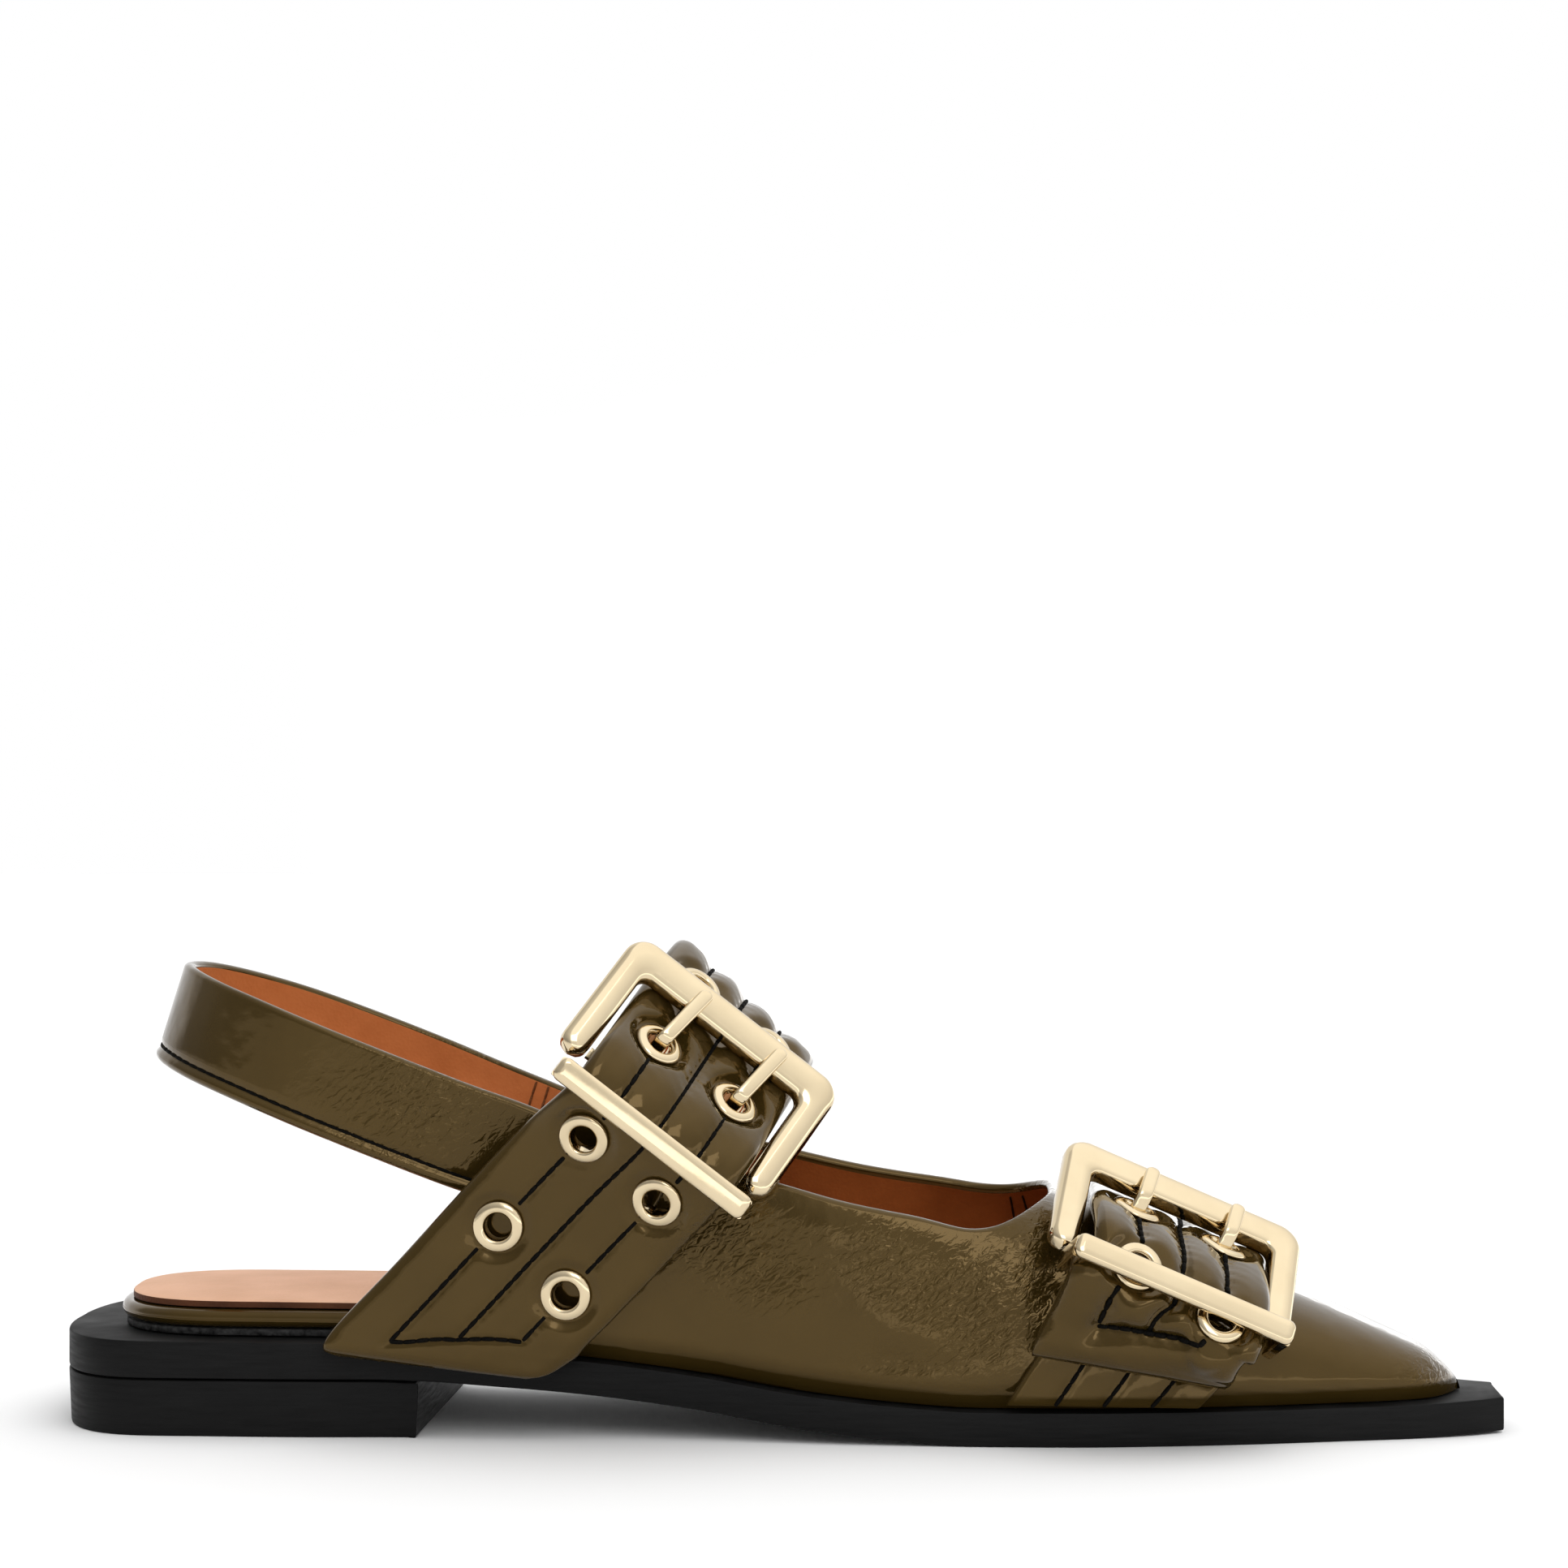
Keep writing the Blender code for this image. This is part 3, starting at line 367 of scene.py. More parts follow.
def through(rows, parts):
    """Points of a smooth curve through rows of equal length, parts steps to a row."""
    points = []
    last = len(rows) - 1
    for i in range(last):
        a = rows[max(i - 1, 0)]
        b = rows[i]
        c = rows[i + 1]
        d = rows[min(i + 2, last)]
        for k in range(parts):
            t = k / parts
            points.append([
                0.5 * (2 * q + (r - p) * t + (2 * p - 5 * q + 4 * r - s) * t * t
                       + (3 * q - p - 3 * r + s) * t ** 3)
                for p, q, r, s in zip(a, b, c, d)])
    points.append(list(rows[last]))
    return points


@functools.lru_cache(maxsize=None)
def last_row(x):
    """Lateral, medial, ridge, ridge y, side, top and seam height of the last at x."""
    return tuple(curve(x) for curve in last_curves) + (sole_top(x) + GAP,)


def last_point(x, angle, inset=0.0):
    """Point of the last: angle 0 at the lateral seam, 90 on the ridge, 180 at the medial seam."""
    lateral, medial, ridge, ridge_y, side, top, seam = last_row(x)
    reach = max(TOE_X - inset - x, 0.0)
    plan = math.sqrt(1 - (1 - min(reach / NOSE_PLAN, 1.0)) ** 2)
    height = math.sqrt(1 - (1 - min(reach / NOSE_RISE, 1.0)) ** 2)
    rise = (ridge - seam - inset) * height
    phi = math.radians(angle if angle <= 90 else 180 - angle)
    out = max(math.cos(phi), 0.0) ** side * plan
    up = math.sin(phi) ** top
    if angle <= 90:
        y = ridge_y - (lateral + ridge_y - inset) * out
    else:
        y = ridge_y + (medial - ridge_y - inset) * out
    return Vector((x, y, seam + rise * up))


def last_offset(x, angle, offset):
    """Point at a distance outside the last, square to it."""
    along = last_point(x + SLOPE_STEP, angle) - last_point(x - SLOPE_STEP, angle)
    around = last_point(x, angle + SLOPE_STEP) - last_point(x, angle - SLOPE_STEP)
    return last_point(x, angle) + around.cross(along).normalized() * -offset


def collar_angle(x, side):
    """Angle at which the upper ends at x on one side."""
    if x >= THROAT_X:
        return 90.0
    lateral, medial, ridge, ridge_y, side_power, top, seam = last_row(x)
    if x <= THROAT_REAR_X:
        share = (collar_curves[side](x) - seam) / (ridge - seam)
        return math.degrees(math.asin(share ** (1 / top)))
    ahead = (x - THROAT_REAR_X) / (THROAT_X - THROAT_REAR_X)
    power = THROAT_POWER[side]
    opening = THROAT_HALF[side] * (1 - ahead ** power) ** (1 / power)
    share = opening / (lateral if side == LATERAL else medial)
    return math.degrees(math.acos(share ** (1 / side_power)))


def even_collar_angle(x, side):
    """The collar's angle without a corner where the throat begins."""
    reach = min(COLLAR_BLEND, max(THROAT_X - x, 0.0) * THROAT_BLEND, x - REAR_X)
    samples = [collar_angle(x + reach * share, side) for share in spread(-1.0, 1.0, COLLAR_SAMPLES)]
    return sum(samples) / COLLAR_SAMPLES


def place(point):
    """A point of the shoe in the frame."""
    return ((point[0] - X_MIDDLE) * MM, (point[1] - Y_MIDDLE) * MM, point[2] * MM)


# Materials: each shader's constants are set on its own sockets
class Nodes:
    """Builds the nodes of a material or of the studio."""

    def __init__(self, tree):
        self.tree = tree

    def node(self, kind, links=(), **values):
        """A node with its sockets set from values or linked from (socket, output) pairs."""
        node = self.tree.nodes.new(kind)
        for name, value in values.items():
            if name in node.inputs:
                node.inputs[name].default_value = value
            else:
                setattr(node, name, value)
        for socket, output in links:
            self.tree.links.new(output, node.inputs[socket])
        return node

    def ramp(self, value, stops):
        """Colour from a value, by stops of position and colour."""
        node = self.node("ShaderNodeValToRGB", [("Fac", value)])
        elements = node.color_ramp.elements
        while len(elements) < len(stops):
            elements.new(0.5)
        for element, (position, color) in zip(elements, stops):
            element.position = position
            element.color = (*color, 1.0)
        return node.outputs["Color"]

    def span(self, value, first, last, start=0.0, stop=1.0):
        """Value carried from start..stop to first..last."""
        node = self.node("ShaderNodeMapRange", [("Value", value)])
        for socket, number in (("From Min", start), ("From Max", stop), ("To Min", first), ("To Max", last)):
            node.inputs[socket].default_value = number
        return node.outputs["Result"]


class Look(Nodes):
    """A procedural material with one Principled shader."""

    def __init__(self, name, **sockets):
        self.material = bpy.data.materials.new(name)
        self.material.use_nodes = True
        super().__init__(self.material.node_tree)
        self.shader = self.tree.nodes["Principled BSDF"]
        for socket, value in sockets.items():
            self.shader.inputs[socket.replace("_", " ")].default_value = value

    def coords(self, stretch=(1.0, 1.0, 1.0), lean=0.0):
        """The frame's own coordinates in metres, drawn out along axes that lean from x up to z."""
        source = self.node("ShaderNodeTexCoord")
        return self.node("ShaderNodeMapping", [("Vector", source.outputs["Object"])], vector_type="TEXTURE",
                         Scale=stretch, Rotation=(0.0, -math.radians(lean), 0.0)).outputs[0]

    def speckle(self, scale, detail=3.0, stretch=(1.0, 1.0, 1.0), lean=0.0, distortion=0.0):
        """Noise value over the frame."""
        coords = self.coords(stretch, lean)
        return self.node("ShaderNodeTexNoise", [("Vector", coords)], Scale=scale, Detail=detail,
                         Distortion=distortion).outputs["Fac"]

    def painted(self, attribute):
        """Value that the mesh's vertices carry."""
        return self.node("ShaderNodeAttribute", attribute_name=attribute).outputs["Fac"]

    def bump(self, height, distance, before=None):
        """Bump of a height value, its distance in millimetres, over an earlier bump."""
        links = [("Height", height)]
        if before is not None:
            links.append(("Normal", before))
        return self.node("ShaderNodeBump", links, Distance=distance * MM).outputs["Normal"]

    def put(self, socket, output):
        """Links an output to a socket of the shader."""
        self.tree.links.new(output, self.shader.inputs[socket])


def patent_leather(name, dark, light):
    """Olive leather under a clear gloss, its gloss dimmed near the sole as painted shade, and crinkled where
    the mesh says so.
    """
    look = Look(name, Roughness=0.08, Specular_Tint=(1.0, 0.64, 0.22, 1.0), Coat_Roughness=0.03,
                Coat_IOR=1.33)
    # painted shade: near the sole the gloss is dimmed to stand for the dark sole ledge that it reflects
    feather_shade = look.painted("feather_shade")
    look.put("Specular IOR Level", look.span(feather_shade, first=0.62, last=0.04))
    look.put("Coat Weight", look.span(feather_shade, first=0.36, last=0.02))
    look.put("Base Color", look.ramp(look.speckle(60.0), ((0.3, dark), (0.7, light))))
    sway = look.bump(look.speckle(110.0, detail=2.0), 0.30)
    skin = look.bump(look.speckle(900.0, detail=2.0), 0.012, before=sway)
    wrinkle = look.speckle(640.0, detail=2.0, stretch=(1.5, 1.0, 0.8), lean=36.0, distortion=0.9)
    inputs = ((0, wrinkle), (1, look.painted("crinkle")))
    drawn = look.node("ShaderNodeMath", inputs, operation="MULTIPLY").outputs[0]
    crinkled = look.bump(drawn, 0.55, before=skin)
    for socket in ("Normal", "Coat Normal"):
        look.put(socket, crinkled)
    return look.material


def soft_leather(name, dark, light, grain):
    """Matt tan leather with a fine grain."""
    look = Look(name, Roughness=0.58, Specular_IOR_Level=0.1)
    look.put("Base Color", look.ramp(look.speckle(90.0, detail=5.0), ((0.32, dark), (0.68, light))))
    pores = look.node("ShaderNodeTexVoronoi", [("Vector", look.coords())], Scale=1500.0).outputs["Distance"]
    wide = look.bump(look.speckle(260.0), 0.12)
    look.put("Normal", look.bump(pores, grain, before=wide))
    return look.material


def black_sole(name, tone, roughness, stretch, grain):
    """Black sole board with a drawn-out grain."""
    dark, light = tone
    look = Look(name, Specular_IOR_Level=0.12)
    lines = look.speckle(900.0, detail=4.0, stretch=stretch)
    look.put("Base Color", look.ramp(lines, ((0.3, (dark,) * 3), (0.75, (light,) * 3))))
    look.put("Roughness", look.span(lines, *roughness, start=0.25, stop=0.75))
    look.put("Normal", look.bump(lines, grain))
    return look.material


def champagne_gold(name):
    """Polished pale gold with the faintest wear."""
    look = Look(name, Metallic=1.0)
    wear = look.speckle(120.0, detail=4.0)
    look.put("Base Color", look.ramp(wear, ((0.3, (0.69, 0.565, 0.37)), (0.7, (0.74, 0.615, 0.41)))))
    look.put("Roughness", look.span(look.speckle(700.0), first=0.06, last=0.12, start=0.3, stop=0.7))
    look.put("Normal", look.bump(wear, 0.02))
    return look.material


def thread(name, dark, light):
    """Waxed sewing thread, twisted."""
    look = Look(name, Roughness=0.7, Specular_IOR_Level=0.05)
    strands = look.speckle(2600.0, detail=2.0)
    look.put("Base Color", look.ramp(strands, ((0.3, dark), (0.7, light))))
    look.put("Normal", look.bump(strands, 0.15))
    return look.material


PATENT = patent_leather("olive_patent", (0.027, 0.0165, 0.0035), (0.036, 0.022, 0.005))
# The lining inside the upper is a darker copy of the sling's tan lining: painted shade for the inside of the
# shoe.
SHADED_LINING = soft_leather("tan_lining_in_shade", (0.20, 0.052, 0.010), (0.27, 0.075, 0.016), grain=0.05)
SLING_LINING = soft_leather("sling_lining", (0.42, 0.125, 0.034), (0.52, 0.165, 0.050), grain=0.05)
INSOLE = soft_leather("insole_leather", (0.66, 0.39, 0.25), (0.74, 0.45, 0.30), grain=0.06)
INSOLE_EDGE = soft_leather("insole_cut_edge", (0.05, 0.018, 0.008), (0.10, 0.035, 0.015), grain=0.08)
SOLE = black_sole("black_sole", tone=(0.003, 0.008), roughness=(0.45, 0.65), stretch=(8.0, 8.0, 0.6),
                  grain=0.10)
HEEL = black_sole("black_heel", tone=(0.003, 0.007), roughness=(0.45, 0.65), stretch=(7.0, 7.0, 0.6),
                  grain=0.12)
MIDSOLE = black_sole("black_board", tone=(0.004, 0.05), roughness=(0.5, 0.9), stretch=(1.0, 1.0, 1.0),
                     grain=0.30)
GOLD = champagne_gold("champagne_gold")
BLACK_THREAD = thread("black_thread", (0.0015, 0.0014, 0.0012), (0.006, 0.005, 0.004))
BROWN_THREAD = thread("brown_thread", (0.10, 0.035, 0.012), (0.20, 0.075, 0.028))
SEAM_THREAD = thread("seam_thread", (0.012, 0.004, 0.002), (0.03, 0.010, 0.004))


# Meshes
def flatten(rings):
    """All points of the rings in one list."""
    return [p for ring in rings for p in ring]


def grid(rings, start=0, wrap=False):
    """Faces between rings of equal size, either capped at both ends or wrapped from the last to the first."""
    size = len(rings[0])
    count = len(rings)
    faces = []
    for i in range(count if wrap else count - 1):
        here = start + i * size
        ahead = start + (i + 1) % count * size
        for j in range(size):
            k = (j + 1) % size
            faces.append((here + j, here + k, ahead + k, ahead + j))
    if not wrap:
        end = start + (count - 1) * size
        faces.append(tuple(range(start, start + size)))
        faces.append(tuple(range(end, end + size)))
    return faces


def gathered(lofts):
    """Points and faces of several closed lofts."""
    points = []
    faces = []
    for rings in lofts:
        faces += grid(rings, len(points))
        points += flatten(rings)
    return points, faces


def mesh_of(name, points, faces, looks, marks=None, sharp=None):
    """Mesh from points of the shoe; marks gives each face's look, sharp the angle that stays an edge."""
    mesh = bpy.data.meshes.new(name)
    mesh.from_pydata([place(p) for p in points], [], faces)
    for look in looks:
        mesh.materials.append(look)
    if marks is not None:
        mesh.polygons.foreach_set("material_index", marks)
    form = bmesh.new()
    form.from_mesh(mesh)
    bmesh.ops.recalc_face_normals(form, faces=form.faces)
    form.to_mesh(mesh)
    form.free()
    mesh.shade_smooth()
    if sharp is not None:
        mesh.set_sharp_from_angle(angle=math.radians(sharp))
    return mesh


def added(name, data):
    """A new object of the scene."""
    obj = bpy.data.objects.new(name, data)
    bpy.context.scene.collection.objects.link(obj)
    return obj


def settle(name, mesh, slot, *nodes):
    """Object of a mesh that rides on the shoe and stands for CAD nodes."""
    obj = added(name, mesh)
    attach(obj, "root")
    if nodes:
        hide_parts(*nodes)
    return obj


def lofted(name, rings, look, slot, node, sharp=None):
    """Piece of closed rings in one look that stands for a CAD node."""
    mesh = mesh_of(name, flatten(rings), grid(rings), [look], sharp=sharp)
    return settle(name, mesh, slot, node)


def crinkle_at(point):
    """How far the grain is drawn up at a point of the shoe."""
    amount = 0.0
    for x, z, reach_x, reach_z, strength in CRINKLES:
        amount += strength * math.exp(-((point[0] - x) / reach_x) ** 2 - ((point[2] - z) / reach_z) ** 2)
    return min(amount, 1.0)


def feather_shade_at(point):
    """How far the gloss is dimmed at a point near the sole, as painted shade."""
    return ease((FEATHER - point[2] + sole_top(point[0])) / FEATHER_FADE)


def paint(mesh, points, attribute, amount):
    """Writes the amount at every point into the mesh, for the patent leather."""
    layer = mesh.attributes.new(attribute, "FLOAT", "POINT")
    layer.data.foreach_set("value", [amount(p) for p in points])


# Sole and boards
def outline(back_x, rounding, table, front_x, count):
    """Rows x, lateral, medial of a sole shape with a rounded back end."""
    lateral = Curve(table, LATERAL)
    medial = Curve(table, MEDIAL)
    rows = []
    for degrees in range(4, 90, 5):
        theta = math.radians(degrees)
        share = math.sin(theta) ** (2 / HEEL_POWER)
        x = back_x + rounding * (1 - math.cos(theta) ** (2 / HEEL_POWER))
        rows.append((x, share * table[0][LATERAL], share * table[0][MEDIAL]))
    for x in spread(back_x + rounding, front_x, count):
        rows.append((x, lateral(x), medial(x)))
    return rows


def drawn_in(rows, inset):
    """Lateral and medial points of an outline drawn in square to its edge."""
    loop = [Vector((x, -lateral)) for x, lateral, medial in rows]
    loop += [Vector((x, medial)) for x, lateral, medial in reversed(rows)]
    moved = []
    for k, here in enumerate(loop):
        run = (loop[(k + 1) % len(loop)] - loop[k - 1]).normalized()
        moved.append(here + Vector((-run.y, run.x)) * inset)
    half = len(rows)
    return list(zip(moved[:half], reversed(moved[half:])))


def board(rows, top, bottom, upper_rim, lower_rim, crown=None, across=(-1.0, 1.0)):
    """Rings of a board: rims are (inset, distance from its face) from the face to the side."""
    upper = [(drawn_in(rows, inset), drop) for inset, drop in upper_rim]
    lower = [(drawn_in(rows, inset), rise) for inset, rise in reversed(lower_rim)]
    rings = []
    for i, row in enumerate(rows):
        x = row[X]
        face, depth = upper[0]
        left, right = face[i]
        ring = []
        for share in across:
            spot = left.lerp(right, (share + 1) / 2)
            lift = crown(share, (right.y - left.y) / 2) if crown else 0.0
            ring.append((spot.x, spot.y, top(x) - depth + lift))
        ring += [(*side[i][1], top(x) - drop) for side, drop in upper[1:]]
        ring += [(*side[i][1], bottom(x) + rise) for side, rise in lower]
        ring += [(*side[i][0], bottom(x) + rise) for side, rise in reversed(lower)]
        ring += [(*side[i][0], top(x) - drop) for side, drop in reversed(upper[1:])]
        rings.append(ring)
    return rings


def sole():
    """Outsole and the heel block under it."""
    rows = outline(BACK_X, HEEL_ROUND, SOLE_OUTLINE, FRONT_X, count=110)
    rings = board(rows, sole_top, sole_bottom, SOLE_RIM, SOLE_RIM)
    lofted("outsole_board", rings, SOLE, "sole", "outsole", sharp=40)
    heel_rows = outline(BACK_X, HEEL_ROUND, SOLE_OUTLINE, HEEL_BREAST_X, count=24)
    rings = board(heel_rows, lambda x: sole_bottom(x) - GAP, lambda x: 0.0, SOLE_RIM, HEEL_FOOT_RIM)
    lofted("heel_stack", rings, HEEL, "sole", "heel_block", sharp=40)


midsole_low = GAP
midsole_high = midsole_low + MIDSOLE_THICK
bed_low = midsole_high + GAP
bed_high = bed_low + BED_THICK
insole_low = bed_high + GAP
insole_high = insole_low + INSOLE_THICK


def above_sole(height):
    """Height over the sole as a function of x."""
    return lambda x: sole_top(x) + height


def inset_rows(rows, inset):
    """An outline drawn in, as rows x, lateral, medial."""
    return [(left.x, -left.y, right.y) for left, right in drawn_in(rows, inset)]


def round_rim(radius, depth, steps=6):
    """Quarter-round rim of a board's edge."""
    rim = []
    for k in range(steps + 1):
        turn = k / steps * math.pi / 2
        rim.append((radius * (1 - math.sin(turn)), depth * (1 - math.cos(turn))))
    return tuple(rim)


def insole_crown(share, half):
    """Rise of the insole's face at a share of its half width."""
    return INSOLE_CROWN * (1 - share * share) * min(half / INSOLE_FULL_HALF, 1.0)


def boards():
    """Midsole board, covered footbed and padded insole."""
    rows = outline(BED_BACK_X, BED_ROUND, BED_OUTLINE, BED_FRONT_X, count=90)
    rings = board(inset_rows(rows, MIDSOLE_INSET), above_sole(midsole_high), above_sole(midsole_low),
                  MIDSOLE_RIM, MIDSOLE_RIM)
    lofted("midsole_board", rings, MIDSOLE, "midsole", "midsole", sharp=50)

    rim = round_rim(BED_EDGE, BED_THICK / 2)
    rings = board(rows, above_sole(bed_high), above_sole(bed_low), rim, rim)
    lofted("footbed_cover", rings, PATENT, "patent", "footbed")

    rings = board(inset_rows(rows, INSOLE_INSET), above_sole(insole_high), above_sole(insole_low),
                  INSOLE_RIM, INSOLE_UNDER_RIM, insole_crown, spread(-1.0, 1.0, INSOLE_SHARES))
    faces = grid(rings)
    size = len(rings[0])
    marks = []
    for face in faces:
        on_top = len(face) == 4 and all(corner % size <= INSOLE_SHARES for corner in face)
        on_rim = len(face) == 4 and all(corner % size in (0, size - 1) for corner in face)
        marks.append(0 if on_top or on_rim else 1)
    mesh = mesh_of("insole_sock", flatten(rings), faces, [INSOLE, INSOLE_EDGE], marks, sharp=50)
    settle("insole_sock", mesh, "insole", "insole")


# Upper
def row_angle(end, j):
    """Angle of row j of the upper where its edge is at the angle end."""
    knee = min(KNEE_ANGLE, KNEE_SHARE * end)
    if j <= LOW_ROWS:
        return knee * (j / LOW_ROWS) ** SEAM_CROWDING
    return between(knee, end, 1 - (1 - (j - LOW_ROWS) / HIGH_ROWS) ** ROW_CROWDING)


def upper_stations():
    """Stations along the upper, close at the throat's and the toe's curves."""
    stations = spread(REAR_X, THROAT_REAR_X, REAR_STATIONS)
    for degrees in spread(3.0, 90.0, THROAT_STATIONS):
        stations.append(between(THROAT_REAR_X, THROAT_X, math.sin(math.radians(degrees))))
    stations[-1] = THROAT_X
    stations += spread(THROAT_X, TOE_X - NOSE_PLAN, VAMP_STATIONS)[1:]
    for degrees in spread(90.0, 2.0, NOSE_STATIONS)[1:]:
        stations.append(TOE_X - NOSE_PLAN * (1 - math.cos(math.radians(degrees))))
    return stations


def crease_at(point):
    """Depth of the listed creases at a point of the lateral wall."""
    depth = 0.0
    for x, z, heading, length, width, deep in CREASES:
        turn = math.radians(heading)
        along = (point[0] - x) * math.cos(turn) + (point[2] - z) * math.sin(turn)
        off = (point[2] - z) * math.cos(turn) - (point[0] - x) * math.sin(turn)
        if abs(along) < length:
            depth += deep * math.exp(-(off / width) ** 2) * (1 - (along / length) ** 2) ** 2
    return depth


def worked(point, side, skin):
    """A point of the upper, drawn in where it turns under at the sole, and creased on the outside."""
    left = max(1 - (point.z - sole_top(point.x) - GAP) / TUCK_HEIGHT, 0.0)
    inward = TUCK_DEPTH * left ** TUCK_POWER
    if side == MEDIAL:
        return point - Vector((0.0, inward, 0.0))
    if skin == OUTSIDE:
        inward += crease_at(point)
    return point + Vector((0.0, inward, 0.0))


def upper_skins(stations):
    """Points of both skins, and their numbers by skin, station, side and row."""
    points = []
    index = {}
    for skin, inset in ((OUTSIDE, 0.0), (INSIDE, WALL)):
        for i, x in enumerate(stations):
            spot = x - inset * (x - REAR_X) / (TOE_X - REAR_X)
            for side in (LATERAL, MEDIAL):
                end = even_collar_angle(x, side)
                for j in range(UPPER_ROWS + 1):
                    if side == MEDIAL and j == UPPER_ROWS and x >= THROAT_X:
                        index[skin, i, side, j] = index[skin, i, LATERAL, j]
                        continue
                    angle = row_angle(end, j)
                    index[skin, i, side, j] = len(points)
                    point = last_point(spot, angle if side == LATERAL else 180 - angle, inset)
                    points.append(worked(point, side, skin))
    return points, index


def wall_faces(index, tip, throat):
    """Faces of both skins and of the edges at the sole and at the back, each with its look's number."""
    faces = []
    for skin in (OUTSIDE, INSIDE):
        for side in (LATERAL, MEDIAL):
            for i in range(tip):
                for j in range(UPPER_ROWS):
                    folded = j >= UPPER_ROWS - FOLD_ROWS and i < throat
                    lined = skin == INSIDE and not folded
                    around = ((i, j), (i + 1, j), (i + 1, j + 1), (i, j + 1))
                    faces.append(([index[skin, a, side, b] for a, b in around], 1 if lined else 0))
        arch = [index[skin, tip, LATERAL, j] for j in range(UPPER_ROWS + 1)]
        arch += [index[skin, tip, MEDIAL, j] for j in range(UPPER_ROWS - 1, -1, -1)]
        faces.append((arch, skin))
    for side in (LATERAL, MEDIAL):
        for i in range(tip):
            around = ((OUTSIDE, i), (OUTSIDE, i + 1), (INSIDE, i + 1), (INSIDE, i))
            faces.append(([index[skin, a, side, 0] for skin, a in around], 0))
        for j in range(UPPER_ROWS):
            around = ((OUTSIDE, j), (OUTSIDE, j + 1), (INSIDE, j + 1), (INSIDE, j))
            faces.append(([index[skin, 0, side, b] for skin, b in around], 0))
    around = ((OUTSIDE, LATERAL), (OUTSIDE, MEDIAL), (INSIDE, MEDIAL), (INSIDE, LATERAL))
    faces.append(([index[skin, tip, side, 0] for skin, side in around], 0))
    return faces


def folded_edge(points, index, throat):
    """Faces of the collar's edge, a half round from the outer to the inner skin; adds its points."""
    edge = [(i, LATERAL) for i in range(throat + 1)]
    edge += [(i, MEDIAL) for i in range(throat - 1, -1, -1)]
    outer = [index[OUTSIDE, i, side, UPPER_ROWS] for i, side in edge]
    inner = [index[INSIDE, i, side, UPPER_ROWS] for i, side in edge]
    below = [index[OUTSIDE, i, side, UPPER_ROWS - 1] for i, side in edge]
    rims = []
    for k in range(len(edge)):
        a = points[outer[k]]
        b = points[inner[k]]
        run = points[outer[min(k + 1, len(edge) - 1)]] - points[outer[max(k - 1, 0)]]
        middle = (a + b) / 2
        half = (a - b) / 2
        beyond = run.cross(half).normalized()
        if beyond.dot((a - points[below[k]]).normalized() + RIM_LEAN) < 0:
            beyond.negate()
        rim = [outer[k]]
        for m in range(1, RIM_STEPS):
            turn = math.pi * m / RIM_STEPS
            rim.append(len(points))
            points.append(middle + half * math.cos(turn) + beyond * (half.length * math.sin(turn)))
        rim.append(inner[k])
        rims.append(rim)
    faces = []
    for here, ahead in zip(rims, rims[1:]):
        for m in range(RIM_STEPS):
            faces.append(((here[m], ahead[m], ahead[m + 1], here[m + 1]), 0))
    return faces + [(rims[0], 0), (rims[-1], 0)]


def upper():
    """Hollow upper: patent outside and over the collar's edge, tan inside."""
    stations = upper_stations()
    throat = stations.index(THROAT_X)
    points, index = upper_skins(stations)
    faces = wall_faces(index, len(stations) - 1, throat) + folded_edge(points, index, throat)
    marks = [look for corners, look in faces]
    corners = [corners for corners, look in faces]
    # the lining inside takes the darker tan, painted shade
    mesh = mesh_of("upper_leather", points, corners, [PATENT, SHADED_LINING], marks, sharp=60)
    paint(mesh, points, "crinkle", crinkle_at)
    # painted shade: the gloss is dimmed near the sole
    paint(mesh, points, "feather_shade", feather_shade_at)
    settle("upper_leather", mesh, "patent", "upper")


LINING_THREAD = 0.22         # radius of the lining seams' thread
LINING_CLEAR = 1.0           # degrees from the collar's edge to the seams' upper ends
LINING_RISE = 0.1            # height of the thread's middle over the lining
LINING_SAMPLES = 16
LINING_SEAMS = (             # x at the collar, x at the lower end, fall in degrees round the last
    (179.2, 181.0, 26.0),
    (181.6, 185.0, 34.0),
)


def lining_seams():
    """Seams of the lining on the medial side just behind the throat."""
    paths = []
    for top_x, low_x, fall in LINING_SEAMS:
        path = []
        for t in spread(0.0, 1.0, LINING_SAMPLES):
            x = between(top_x, low_x, t)
            angle = 180 - even_collar_angle(top_x, MEDIAL) + LINING_CLEAR + fall * t
            path.append((last_point(x, angle, WALL + LINING_RISE), Vector((0.0, -1.0, 0.0))))
        paths.append(path)
    stitches("upper_lining_seams", paths, SEAM_THREAD, LINING_THREAD)


# Straps
def width_axis(pitch, flare):
    """Direction across a strap: pitch is its fall toward the toe, flare its turn to +y."""
    fall = math.radians(pitch)
    turn = math.radians(flare)
    return Vector((math.cos(fall) * math.cos(turn), math.cos(fall) * math.sin(turn), -math.sin(fall)))


def pitch_and_flare(across):
    """The pitch and flare of a direction, the reverse of width_axis."""
    return (math.degrees(math.asin(-across.z / across.length)),
            math.degrees(math.atan2(across.y, across.x)))


class Buckle:
    """Place of a buckle: its pin's middle, the directions w, l and n, and l, n of the prongs' eyelets."""

    def __init__(self, pin, top, pitch, flare, eyelet):
        self.eyelet = eyelet
        self.pin = Vector(pin)
        self.w = width_axis(pitch, flare)
        rise = Vector(top) - self.pin
        self.l = (rise - self.w * rise.dot(self.w)).normalized()
        self.n = self.w.cross(self.l)

    def point(self, l, n, w=0.0):
        """A point of the shoe from the buckle's own directions."""
        return self.pin + self.l * l + self.n * n + self.w * w

    def row(self, l, n, width=STRAP_WIDTH, thick=STRAP_THICK, turn=0.0):
        """Row of a strap at l, n, its cross line turned away from the pin's in the buckle's plane."""
        across = self.w * math.cos(math.radians(turn)) - self.l * math.sin(math.radians(turn))
        return (*self.point(l, n), *pitch_and_flare(across), 0.0, width, thick)


